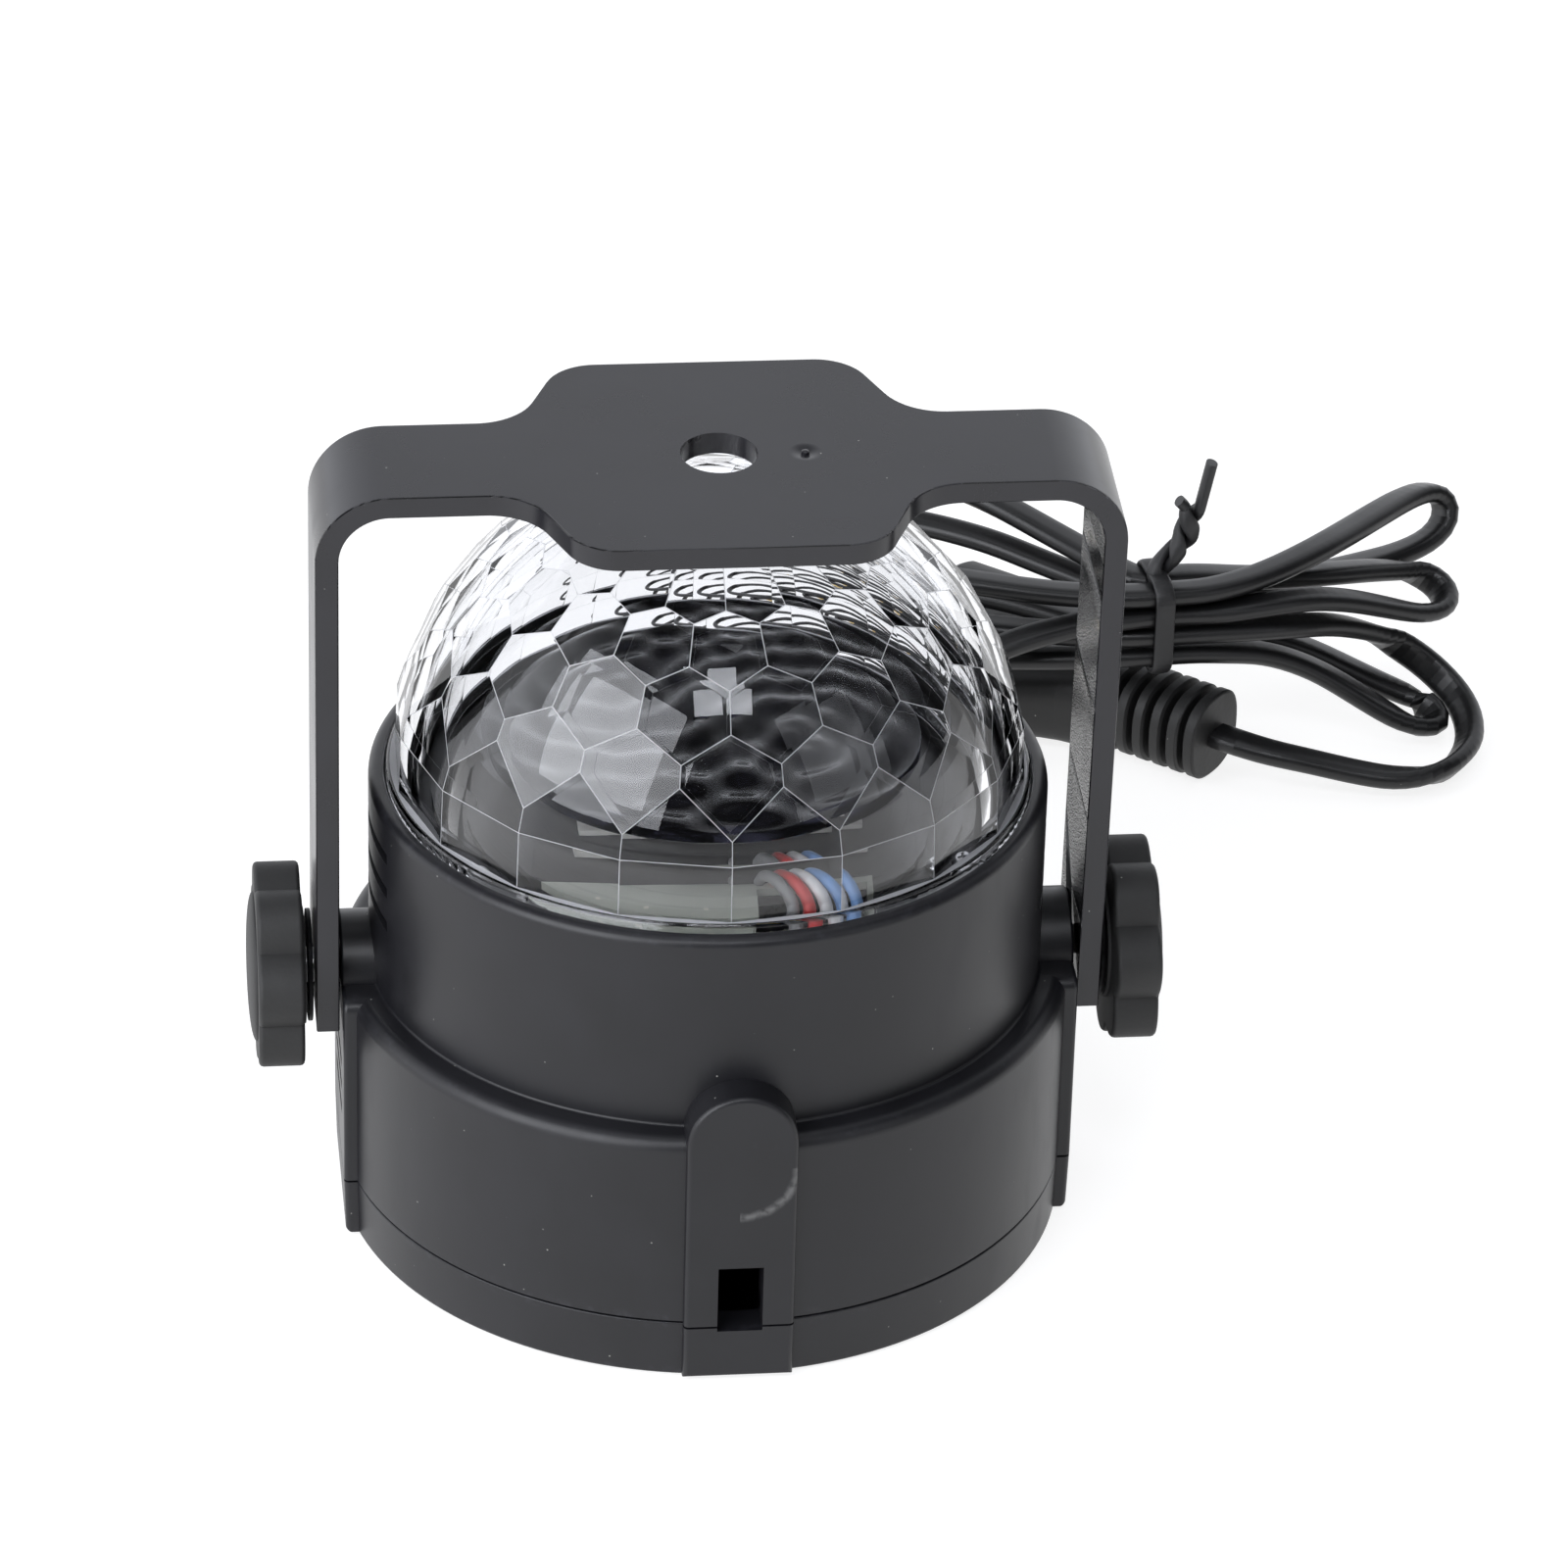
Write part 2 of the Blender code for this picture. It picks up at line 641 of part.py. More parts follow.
def curve_point(before, first, last, after, share):
    """A point of the Catmull-Rom curve between two route points."""
    square, cube = share * share, share ** 3
    return 0.5 * (
        2 * first
        + (last - before) * share
        + (2 * before - 5 * first + 4 * last - after) * square
        + (3 * first - before - 3 * last + after) * cube
    )


def evenly(points, step):
    """The line again, with points a step apart, and closer together where it turns."""
    marks = [0.0]
    for i in range(len(points) - 1):
        span = points[i + 1] - points[i]
        turn = span.angle(points[i] - points[i - 1]) if i else 0.0
        marks.append(marks[-1] + span.length / step + turn / TURN_STEP)
    count = max(2, round(marks[-1]))
    out, at = [], 0
    for i in range(count + 1):
        wanted = marks[-1] * i / count
        while at < len(points) - 2 and marks[at + 1] < wanted:
            at += 1
        share = (wanted - marks[at]) / (marks[at + 1] - marks[at])
        out.append(points[at].lerp(points[at + 1], share))
    return out


def line_length(points):
    return sum((last - first).length for first, last in zip(points, points[1:]))


# Casing


def upper_casing():
    """The one-piece shell: wide band, ledge, neck and rim, with its pads, bosses and posts."""
    outside = [(0, SEAM_Z), (BAND_RADIUS, SEAM_Z)]
    outside += arc((BAND_RADIUS - LEDGE_ROUND, LEDGE_Z - LEDGE_ROUND), LEDGE_ROUND, 0, QUARTER, 3)
    outside += [(NECK_RADIUS, LEDGE_Z)]
    outside += arc((NECK_RADIUS - RIM_ROUND, RIM_Z - RIM_ROUND), RIM_ROUND, 0, QUARTER, 2)
    outside += [(0, RIM_Z)]
    casing = add_object("upper_casing", lathe(outside), "casing_plastic")
    add_boolean(casing, "UNION", [end_pad(-1), end_pad(1)] + side_pads())
    recess = DOME_FLANGE_RADIUS + GAP
    inside = [
        (0, SEAM_Z - OVERRUN),
        (BAND_RADIUS - CASING_WALL, SEAM_Z - OVERRUN),
        (BAND_RADIUS - CASING_WALL, LEDGE_Z - CASING_WALL),
        (NECK_RADIUS - CASING_WALL, LEDGE_Z - CASING_WALL),
        (NECK_RADIUS - CASING_WALL, SHELF_Z - SHELF_THICKNESS),
        (NECK_RADIUS - CASING_WALL - SHELF_WIDTH, SHELF_Z - SHELF_THICKNESS),
        (NECK_RADIUS - CASING_WALL - SHELF_WIDTH, SHELF_Z),
        (recess, SHELF_Z),
        (recess, RIM_Z + OVERRUN),
        (0, RIM_Z + OVERRUN),
    ]
    add_boolean(casing, "DIFFERENCE", [lathe(inside)])
    add_boolean(casing, "UNION", inner_bosses() + screw_posts() + carrier_posts())
    add_boolean(casing, "DIFFERENCE", casing_holes())


def end_pad(side):
    """The round-topped pad on the front (side -1) or the back (side 1)."""
    top = arc((0, LEDGE_Z), PAD_HALF_WIDTH, 0, math.pi, 8)
    outline = [(-PAD_HALF_WIDTH, SEAM_Z), (PAD_HALF_WIDTH, SEAM_Z)] + top
    pad = turned(prism(outline, NECK_RADIUS - SINK, PAD_FACE), QUARTER, "X")
    return turned(pad, 0 if side < 0 else math.pi, "Z")


def side_pads():
    """The flat pads on both sides, with the round bosses that the bracket turns on."""
    half, corner = SIDE_PAD_HALF_WIDTH, SIDE_PAD_ROUND
    outline = [(-half, SEAM_Z), (half, SEAM_Z)]
    outline += arc((half - corner, LEDGE_Z - corner), corner, 0, QUARTER, 3)
    outline += arc((corner - half, LEDGE_Z - corner), corner, QUARTER, math.pi, 3)
    shapes = []
    for turn in (QUARTER, -QUARTER):
        pad = turned(prism(outline, NECK_RADIUS - CASING_WALL, BOSS_FACE_X), QUARTER, "X")
        shapes.append(turned(pad, turn, "Z"))
    for side in (-1, 1):
        boss = disc(BOSS_RADIUS, NECK_RADIUS - CASING_WALL, BOSS_FACE_X, BOSS_SIDES)
        shapes.append(sideways(boss, side))
    return shapes


def sideways(bm, side):
    """A shape turned about Z laid along +X or -X at the height of the pivot."""
    return moved(turned(bm, side * QUARTER, "Y"), (0, 0, PIVOT_Z))


def inner_bosses():
    """The bosses' inner ends, which hold the brass inserts."""
    outer = NECK_RADIUS - CASING_WALL / 2
    return [sideways(disc(BOSS_RADIUS, BOSS_INNER_X, outer, BOSS_SIDES), side) for side in (-1, 1)]


def screw_posts():
    """The long posts that the base screws bite into, each with a rib to the wall."""
    shapes = []
    for azimuth in around(BASE_SCREW_COUNT, math.pi / BASE_SCREW_COUNT):
        post = disc(POST_RADIUS, TONGUE_TOP_Z + GAP, LEDGE_Z - CASING_WALL + SINK)
        shapes.append(moved(post, on_circle(BASE_SCREW_CIRCLE, azimuth)))
        inner, outer = BASE_SCREW_CIRCLE + RIB_THICKNESS, BAND_RADIUS - CASING_WALL / 2
        low = TONGUE_TOP_Z + GAP
        shapes.append(radial_rib(azimuth, inner, outer, low, LEDGE_Z - CASING_WALL + SINK / 2))
    return shapes


def carrier_posts():
    """The short posts under the lamp carrier, each with a rib to the neck."""
    shapes = []
    top = CARRIER_Z - GAP
    low = top - CARRIER_POST_LENGTH
    for azimuth in around(CARRIER_SCREW_COUNT, QUARTER):
        post = disc(CARRIER_POST_RADIUS, low, top)
        shapes.append(moved(post, on_circle(CARRIER_SCREW_CIRCLE, azimuth)))
        inner, outer = CARRIER_SCREW_CIRCLE + RIB_THICKNESS, NECK_RADIUS - CASING_WALL / 2
        shapes.append(radial_rib(azimuth, inner, outer, low + SINK, top - SINK))
    return shapes


def casing_holes():
    """The port, the vents, the gland hole, the insert bores and the pilot holes."""
    half = PORT_WIDTH / 2
    depth = PAD_FACE + OVERRUN
    port_low = (PORT_OFFSET - half, -depth, SEAM_Z - OVERRUN)
    port_high = (PORT_OFFSET + half, OVERRUN - NECK_RADIUS, SEAM_Z + PORT_HEIGHT)
    shapes = [block(port_low, port_high)]
    gland = disc(GLAND_HOLE_RADIUS, NECK_RADIUS - OVERRUN, depth)
    shapes.append(moved(turned(gland, -QUARTER, "X"), (0, 0, GLAND_Z)))
    for side in (-1, 1):
        shapes += side_vents(side)
        bore_end = BOSS_FACE_X - GAP - INSERT_LENGTH - GAP
        shapes.append(sideways(disc(INSERT_RADIUS + GAP, bore_end, depth), side))
    pilot = BASE_SCREW[2] + GAP
    for azimuth in around(BASE_SCREW_COUNT, math.pi / BASE_SCREW_COUNT):
        top = BASE_SCREW_HEAD_Z + BASE_SCREW[3] + OVERRUN
        hole = disc(pilot, TONGUE_TOP_Z - OVERRUN, top)
        shapes.append(moved(hole, on_circle(BASE_SCREW_CIRCLE, azimuth)))
    pilot = CARRIER_SCREW[2] + GAP
    for azimuth in around(CARRIER_SCREW_COUNT, QUARTER):
        top = CARRIER_Z + CARRIER_THICKNESS
        hole = disc(pilot, top - CARRIER_SCREW[3] - OVERRUN, top)
        shapes.append(moved(hole, on_circle(CARRIER_SCREW_CIRCLE, azimuth)))
    return shapes


def side_vents(side):
    """Slots through the neck above the boss and through the pad below it."""
    shapes = []
    rows = (
        (NECK_VENT_Z, VENT_PITCH, VENT_LENGTH, NECK_RADIUS),
        (PAD_VENT_Z, PAD_VENT_PITCH, PAD_VENT_LENGTH, BAND_RADIUS),
    )
    for height, pitch, length, radius in rows:
        for i in range(VENT_COUNT):
            low = height + i * pitch
            inner, outer = radius - 2 * CASING_WALL, radius + 2 * CASING_WALL
            slot = block((inner, -length / 2, low), (outer, length / 2, low + VENT_HEIGHT))
            shapes.append(turned(slot, 0 if side > 0 else math.pi, "Z"))
    return shapes


def base_cover():
    """The dish under the casing, with its tongue, screw bosses, standoffs and pads."""
    tongue_outer = BAND_RADIUS - CASING_WALL - GAP
    tongue_inner = tongue_outer - TONGUE_WIDTH
    profile = [
        (0, FOOT_PROUD),
        (BASE_RADIUS - BASE_EDGE, FOOT_PROUD),
        (BASE_RADIUS, FOOT_PROUD + BASE_EDGE),
        (BAND_RADIUS, SEAM_Z - GAP),
        (tongue_outer, SEAM_Z - GAP),
        (tongue_outer, TONGUE_TOP_Z),
        (tongue_inner, TONGUE_TOP_Z),
        (tongue_inner, FLOOR_TOP_Z),
        (0, FLOOR_TOP_Z),
    ]
    cover = add_object("base_cover", lathe(profile), "casing_plastic")
    bosses = []
    for azimuth in around(BASE_SCREW_COUNT, math.pi / BASE_SCREW_COUNT):
        boss = disc(BASE_BOSS_RADIUS, FLOOR_TOP_Z - SINK, TONGUE_TOP_Z - SINK)
        bosses.append(moved(boss, on_circle(BASE_SCREW_CIRCLE, azimuth)))
    for x in (-STANDOFF_OFFSET, STANDOFF_OFFSET):
        for y in (-STANDOFF_OFFSET, STANDOFF_OFFSET):
            standoff = lathe([
                (0, FLOOR_TOP_Z - SINK),
                (STANDOFF_RADIUS, FLOOR_TOP_Z - SINK),
                (STANDOFF_RADIUS, CONTROL_BOARD_Z - GAP),
                (PEG_RADIUS, CONTROL_BOARD_Z - GAP),
                (PEG_RADIUS, CONTROL_BOARD_TOP_Z + SINK),
                (0, CONTROL_BOARD_TOP_Z + SINK),
            ], TINY_SIDES)
            bosses.append(moved(standoff, (x, y, 0)))
    add_boolean(cover, "UNION", bosses + base_pads())
    add_boolean(cover, "DIFFERENCE", base_holes())


def base_pads():
    """The four pads that carry on from the casing's, leaning in like the cover's wall."""
    lean = BAND_RADIUS - BASE_RADIUS
    kinds = (
        (PAD_HALF_WIDTH, PAD_FACE, (0, math.pi)),
        (SIDE_PAD_HALF_WIDTH, BOSS_FACE_X, (QUARTER, -QUARTER)),
    )
    pads = []
    for half, face, turns in kinds:
        for turn in turns:
            inner = BAND_RADIUS - CASING_WALL - TONGUE_WIDTH
            pad = block((-half, -face, FOOT_PROUD + BASE_EDGE), (half, -inner, SEAM_Z - GAP))
            low_edge = [v for v in pad.verts if v.co.z < FLOOR_TOP_Z and v.co.y < -inner - SINK]
            bmesh.ops.translate(pad, vec=(0, lean, 0), verts=low_edge)
            pads.append(turned(pad, turn, "Z"))
    return pads


def base_holes():
    """Screw holes with counterbores, foot recesses and the notch under the port."""
    shapes = []
    head_radius, _, shank_radius, _ = BASE_SCREW
    for azimuth in around(BASE_SCREW_COUNT, math.pi / BASE_SCREW_COUNT):
        hole = lathe([
            (0, -OVERRUN),
            (head_radius + GAP, -OVERRUN),
            (head_radius + GAP, BASE_SCREW_HEAD_Z),
            (shank_radius + GAP, BASE_SCREW_HEAD_Z),
            (shank_radius + GAP, TONGUE_TOP_Z + OVERRUN),
            (0, TONGUE_TOP_Z + OVERRUN),
        ], SMALL_SIDES)
        shapes.append(moved(hole, on_circle(BASE_SCREW_CIRCLE, azimuth)))
    for azimuth in around(FOOT_COUNT):
        recess = disc(FOOT_RADIUS + GAP, -OVERRUN, FOOT_PROUD + FOOT_RECESS + GAP, BOSS_SIDES)
        shapes.append(moved(recess, on_circle(FOOT_CIRCLE, azimuth)))
    half = PORT_WIDTH / 2
    inner = BAND_RADIUS - CASING_WALL - TONGUE_WIDTH
    notch_low = (PORT_OFFSET - half, -BAND_RADIUS - PAD_PROUD - OVERRUN, SEAM_Z - GAP - SINK)
    notch_high = (PORT_OFFSET + half, OVERRUN - inner, TONGUE_TOP_Z + OVERRUN)
    shapes.append(block(notch_low, notch_high))
    wall_inside = BAND_RADIUS - CASING_WALL
    gland = disc(GLAND_COLLAR_RADIUS + GAP, wall_inside - GAP - TONGUE_WIDTH - OVERRUN, wall_inside)
    shapes.append(moved(turned(gland, -QUARTER, "X"), (0, 0, GLAND_Z)))
    return shapes


def rubber_feet():
    for i, azimuth in enumerate(around(FOOT_COUNT)):
        foot = disc(FOOT_RADIUS, 0, FOOT_PROUD + FOOT_RECESS, BOSS_SIDES)
        add_object(f"rubber_foot_{i + 1}", moved(foot, on_circle(FOOT_CIRCLE, azimuth)), "rubber")


def screw(size, pointing_up=True):
    """A round-headed screw whose head's seat is at the origin and whose shank points up."""
    head_radius, head_height, shank_radius, length = size
    shape = lathe([
        (0, -head_height),
        (head_radius * 2 / 3, -head_height),
        (head_radius, -head_height / 2),
        (head_radius, -GAP),
        (shank_radius, -GAP),
        (shank_radius, length - shank_radius),
        (0, length),
    ], TINY_SIDES)
    return shape if pointing_up else turned(shape, math.pi, "X")


def screws():
    for i, azimuth in enumerate(around(BASE_SCREW_COUNT, math.pi / BASE_SCREW_COUNT)):
        place = on_circle(BASE_SCREW_CIRCLE, azimuth, BASE_SCREW_HEAD_Z)
        add_object(f"base_screw_{i + 1}", moved(screw(BASE_SCREW), place), "steel")
    for i, azimuth in enumerate(around(CARRIER_SCREW_COUNT, QUARTER)):
        place = on_circle(CARRIER_SCREW_CIRCLE, azimuth, CARRIER_Z + CARRIER_THICKNESS)
        add_object(f"carrier_screw_{i + 1}", moved(screw(CARRIER_SCREW, False), place), "steel")
    for i, x in enumerate((-MOTOR_SCREW_X, MOTOR_SCREW_X)):
        place = (x, 0, CARRIER_Z - GAP - MOTOR_EAR_THICKNESS)
        add_object(f"motor_screw_{i + 1}", moved(screw(MOTOR_SCREW), place), "steel")


# Light


def faceted_dome():
    """The thick clear dome: flat facets outside, smooth inside, on a round flange."""
    bm = bmesh.new()
    bmesh.ops.create_cube(bm, size=4 * DOME_RADIUS)
    moved(bm, (0, 0, DOME_CENTRE_Z))
    facet_floor = RIM_Z + DOME_FLANGE_PROUD - SINK
    cut_by_plane(bm, Vector((0, 0, facet_floor)), Vector((0, 0, -1)))
    centre = Vector((0, 0, DOME_CENTRE_Z))
    for elevation, count, half_step, inset in DOME_ROWS:
        start = DOME_TURN - QUARTER + (math.pi / count if half_step else 0)
        for azimuth in around(count, start):
            tilt = math.radians(elevation)
            normal = on_circle(math.cos(tilt), azimuth, math.sin(tilt))
            cut_by_plane(bm, centre + normal * (DOME_RADIUS - inset), normal)
    bmesh.ops.remove_doubles(bm, verts=bm.verts, dist=DOME_CUT_FINE)
    bmesh.ops.recalc_face_normals(bm, faces=bm.faces)
    dome = add_object("faceted_dome", bm, "clear_plastic")
    flange = disc(DOME_FLANGE_RADIUS, SHELF_Z + GAP, RIM_Z + DOME_FLANGE_PROUD, ROUND_SIDES)
    add_boolean(dome, "UNION", [flange])
    inner = DOME_RADIUS - DOME_WALL
    hollow = [(0, SHELF_Z - OVERRUN), (inner, SHELF_Z - OVERRUN)]
    hollow += arc((0, DOME_CENTRE_Z), inner, 0, QUARTER, DOME_INNER_STEPS)[:-1]
    hollow += [(0, DOME_CENTRE_Z + inner)]
    add_boolean(dome, "DIFFERENCE", [lathe(hollow, HOLLOW_SIDES)])


def cut_by_plane(bm, point, normal):
    """Takes away what lies past a plane and closes the cut with one face."""
    geometry = bm.verts[:] + bm.edges[:] + bm.faces[:]
    found = bmesh.ops.bisect_plane(
        bm, geom=geometry, dist=DOME_CUT_FINE, plane_co=point, plane_no=normal, clear_outer=True
    )
    edges = [item for item in found["geom_cut"] if isinstance(item, bmesh.types.BMEdge)]
    if len(edges) > 2:
        bmesh.ops.contextual_create(bm, geom=edges)


def lamp_carrier():
    """The black plate that carries the light board above and the gear motor below."""
    top = CARRIER_Z + CARRIER_THICKNESS
    plate = ring(MOTOR_NOSE_RADIUS + GAP, CARRIER_RADIUS, CARRIER_Z, top, ROUND_SIDES)
    carrier = add_object("lamp_carrier", plate, "carrier_plastic")
    slot_low = (WIRE_SLOT_LEFT, -WIRE_SLOT_FRONT, CARRIER_Z - OVERRUN)
    holes = [block(slot_low, (WIRE_SLOT_RIGHT, -WIRE_SLOT_BACK, top + OVERRUN))]
    for azimuth in around(CARRIER_SCREW_COUNT, QUARTER):
        hole = disc(CARRIER_SCREW[2] + GAP, CARRIER_Z - OVERRUN, top + OVERRUN)
        holes.append(moved(hole, on_circle(CARRIER_SCREW_CIRCLE, azimuth)))
    for x in (-MOTOR_SCREW_X, MOTOR_SCREW_X):
        hole = disc(MOTOR_SCREW[2] + GAP, CARRIER_Z - OVERRUN, top + OVERRUN)
        holes.append(moved(hole, (x, 0, 0)))
    add_boolean(carrier, "DIFFERENCE", holes)


def light_board():
    """The white board with its notch for the wires, and the three emitters on it."""
    bore = HUB_RADIUS + GAP
    plate = ring(bore, LIGHT_BOARD_RADIUS, LIGHT_BOARD_Z, LIGHT_BOARD_TOP_Z, PLATE_SIDES)
    board = add_object("light_board", plate, "white_board")
    notch_low = (WIRE_SLOT_LEFT, -CARRIER_RADIUS, LIGHT_BOARD_Z - OVERRUN)
    notch_high = (WIRE_SLOT_RIGHT, -WIRE_SLOT_BACK, LIGHT_BOARD_TOP_Z + OVERRUN)
    add_boolean(board, "DIFFERENCE", [block(notch_low, notch_high)])
    low = LIGHT_BOARD_TOP_Z + GAP
    for colour, azimuth in zip(EMITTERS, around(len(EMITTERS), QUARTER)):
        place = on_circle(EMITTER_CIRCLE, azimuth, low)
        size = (EMITTER_SIDE, EMITTER_SIDE, EMITTER_BASE)
        emitter = add_object(f"{colour}_emitter", chip(size, place[:2], low), "white_nylon")
        bead = [(0, EMITTER_BASE - SINK), (EMITTER_RADIUS, EMITTER_BASE - SINK)]
        bead += arc((0, EMITTER_BASE), EMITTER_RADIUS, 0, QUARTER, 4)[:-1]
        bead += [(0, EMITTER_BASE + EMITTER_RADIUS)]
        add_boolean(emitter, "UNION", [moved(lathe(bead, SMALL_SIDES), place)])


def gear_motor():
    """The slow gear motor, with two ears and a nose that fills the carrier's centre hole."""
    top = CARRIER_Z - GAP
    gearbox_low = top - MOTOR_GEARBOX_HEIGHT
    nose_top = top + MOTOR_NOSE_HEIGHT
    bore = SHAFT_RADIUS + GAP
    profile = [
        (0, gearbox_low - MOTOR_CAN_HEIGHT),
        (MOTOR_CAN_RADIUS, gearbox_low - MOTOR_CAN_HEIGHT),
        (MOTOR_CAN_RADIUS, gearbox_low),
        (MOTOR_RADIUS, gearbox_low),
        (MOTOR_RADIUS, top),
        (MOTOR_NOSE_RADIUS, top),
        (MOTOR_NOSE_RADIUS, nose_top),
        (bore, nose_top),
        (bore, nose_top - SHAFT_IN_MOTOR),
        (0, nose_top - SHAFT_IN_MOTOR),
    ]
    motor = add_object("gear_motor", lathe(profile, BOSS_SIDES), "steel")
    ears, holes = [], []
    for side in (-1, 1):
        inner = MOTOR_RADIUS - OVERRUN
        ear_low = (inner, -MOTOR_EAR_HALF_WIDTH, top - MOTOR_EAR_THICKNESS)
        ear = block(ear_low, (MOTOR_EAR_END, MOTOR_EAR_HALF_WIDTH, top - GAP / 2))
        ears.append(turned(ear, 0 if side > 0 else math.pi, "Z"))
        hole = disc(MOTOR_SCREW[2] + GAP, top - MOTOR_EAR_THICKNESS - OVERRUN, top + OVERRUN)
        holes.append(moved(hole, (side * MOTOR_SCREW_X, 0, 0)))
    add_boolean(motor, "UNION", ears)
    add_boolean(motor, "DIFFERENCE", holes)


def wave_rotor():
    """What the motor turns: its shaft, the hub and the rippled wave lens."""
    nose_top = CARRIER_Z - GAP + MOTOR_NOSE_HEIGHT
    shaft_low = nose_top - SHAFT_IN_MOTOR + GAP
    shaft_top = LENS_Z + LENS_THICKNESS / 2
    add_object("motor_shaft", disc(SHAFT_RADIUS, shaft_low, shaft_top), "steel")
    bore = SHAFT_RADIUS + GAP
    add_object("lens_hub", ring(bore, HUB_RADIUS, HUB_Z, HUB_Z + HUB_HEIGHT), "white_nylon")
    top = LENS_Z + LENS_THICKNESS
    profile = [(bore, LENS_Z), (LENS_RADIUS, LENS_Z)]
    for i in range(RIPPLE_RINGS + 1):
        profile.append((mixed(LENS_RADIUS, bore, i / RIPPLE_RINGS), top))
    lens = lathe(profile, PLATE_SIDES)
    for vert in lens.verts:
        if vert.co.z > top - SINK:
            vert.co.z += ripple(vert.co.x, vert.co.y)
    add_object("wave_lens", lens, "clear_plastic")


def ripple(x, y):
    """How far the lens's top stands up or down at a point, as waves that cross."""
    far = math.hypot(x - RIPPLE_SHIFT, y + RIPPLE_SHIFT / 2)
    near = math.hypot(x + RIPPLE_SHIFT, y - RIPPLE_SHIFT)
    waves = math.sin(math.tau * far / RIPPLE_LENGTH) + math.sin(math.tau * near / RIPPLE_LENGTH)
    return RIPPLE_HEIGHT * waves / 2


# Control


def control_board():
    """The green board with its chips, and the bigger parts that stand on it."""
    half = CONTROL_BOARD_SIDE / 2
    plate = block((-half, -half, CONTROL_BOARD_Z), (half, half, CONTROL_BOARD_TOP_Z))
    board = add_object("control_board", plate, "green_board")
    low = CONTROL_BOARD_TOP_Z
    soldered = [chip(*CONTROLLER_CHIP, low - SINK), chip(*DRIVER_CHIP, low - SINK)]
    add_boolean(board, "UNION", soldered)
    holes = []
    for x in (-STANDOFF_OFFSET, STANDOFF_OFFSET):
        for y in (-STANDOFF_OFFSET, STANDOFF_OFFSET):
            hole = disc(PEG_RADIUS + GAP, CONTROL_BOARD_Z - OVERRUN, low + OVERRUN, TINY_SIDES)
            holes.append(moved(hole, (x, y, 0)))
    add_boolean(board, "DIFFERENCE", holes)
    seat = low + GAP
    receiver = add_object("infrared_receiver", chip(*RECEIVER, seat), "chip_black")
    size, place = RECEIVER
    eye = disc(RECEIVER_LENS_RADIUS, SINK, size[2] - SINK)
    add_boolean(receiver, "UNION", [moved(eye, (place[0], place[1] - size[1] / 2, seat))])
    transformer()
    add_object("wire_connector", chip(*CONNECTOR, seat), "white_nylon")
    rounded = CAPACITOR_RADIUS / 8
    can = lathe([
        (0, seat),
        (CAPACITOR_RADIUS, seat),
        (CAPACITOR_RADIUS, seat + CAPACITOR_HEIGHT - rounded),
        (CAPACITOR_RADIUS - rounded, seat + CAPACITOR_HEIGHT),
        (0, seat + CAPACITOR_HEIGHT),
    ], SMALL_SIDES)
    add_object("mains_capacitor", moved(can, (*CAPACITOR_PLACE, 0)), "cord_vinyl")
    microphone = disc(MICROPHONE_RADIUS, seat, seat + MICROPHONE_HEIGHT)
    add_object("microphone", moved(microphone, (*MICROPHONE_PLACE, 0)), "steel")


def transformer():
    """The small mains transformer: a ferrite block with a taped waist."""
    size, place = TRANSFORMER
    seat = CONTROL_BOARD_TOP_Z + GAP
    core = add_object("mains_transformer", chip(size, place, seat), "yellow_tape")
    centre = Vector((*place, seat + size[2] / 2))
    waist = Vector((size[0] / 2 + OVERRUN, TRANSFORMER_WAIST / 2, size[2] / 4))
    notches = []
    for side in (-1, 1):
        offset = Vector((0, side * size[1] / 2, 0))
        notches.append(block(centre + offset - waist, centre + offset + waist))
    add_boolean(core, "DIFFERENCE", notches)


def inner_wires():
    """Four wires from the connector up through the carrier's slot to the light board."""
    size, place = CONNECTOR
    low = CONTROL_BOARD_TOP_Z + 2 * GAP + size[2] + WIRE_RADIUS
    pad_z = LIGHT_BOARD_TOP_Z + GAP
    for i, colour in enumerate(WIRE_COLOURS):
        shift = (i - (len(WIRE_COLOURS) - 1) / 2) * WIRE_PITCH
        start = Vector((place[0] + shift, place[1], low))
        slot_x = (WIRE_SLOT_LEFT + WIRE_SLOT_RIGHT) / 2 + shift
        route = [
            start,
            start + Vector((0, 0, WIRE_LIFT)),
            Vector((slot_x, mixed(place[1], WIRE_SLOT_Y, 1 / 2), mixed(low, CARRIER_Z, 1 / 2))),
            Vector((slot_x, WIRE_SLOT_Y, CARRIER_Z)),
            Vector((slot_x, WIRE_SLOT_Y + SINK, pad_z + WIRE_LIFT / 2)),
            Vector((slot_x, mixed(WIRE_SLOT_Y, WIRE_BOARD_Y, 1 / 2), pad_z + WIRE_LIFT)),
            Vector((slot_x, WIRE_BOARD_Y, pad_z + WIRE_LIFT / 2)),
            Vector((slot_x, WIRE_BOARD_Y, pad_z)),
        ]
        points = smooth_route(route, 6 * WIRE_RADIUS)
        add_tube(f"{colour}_wire", points, WIRE_RADIUS, f"wire_{colour}", 0)
    for side, colour in ((-1, "brown"), (1, "blue")):
        first = Vector((side * CORE_SPACING / 2, GLAND_INNER_Y - GAP, GLAND_Z))
        last = Vector((side * CORE_BOARD_PLACE[0], CORE_BOARD_PLACE[1], CONTROL_BOARD_TOP_Z + GAP))
        route = [
            first,
            first - Vector((0, WIRE_LIFT, 0)),
            (first + last) / 2 + Vector((0, 0, WIRE_LIFT)),
            last + Vector((0, 0, WIRE_LIFT)),
            last,
        ]
        points = smooth_route(route, 3 * CORE_RADIUS)
        add_tube(f"{colour}_mains_core", points, CORE_RADIUS, f"wire_{colour}", 0)


# Bracket and knobs


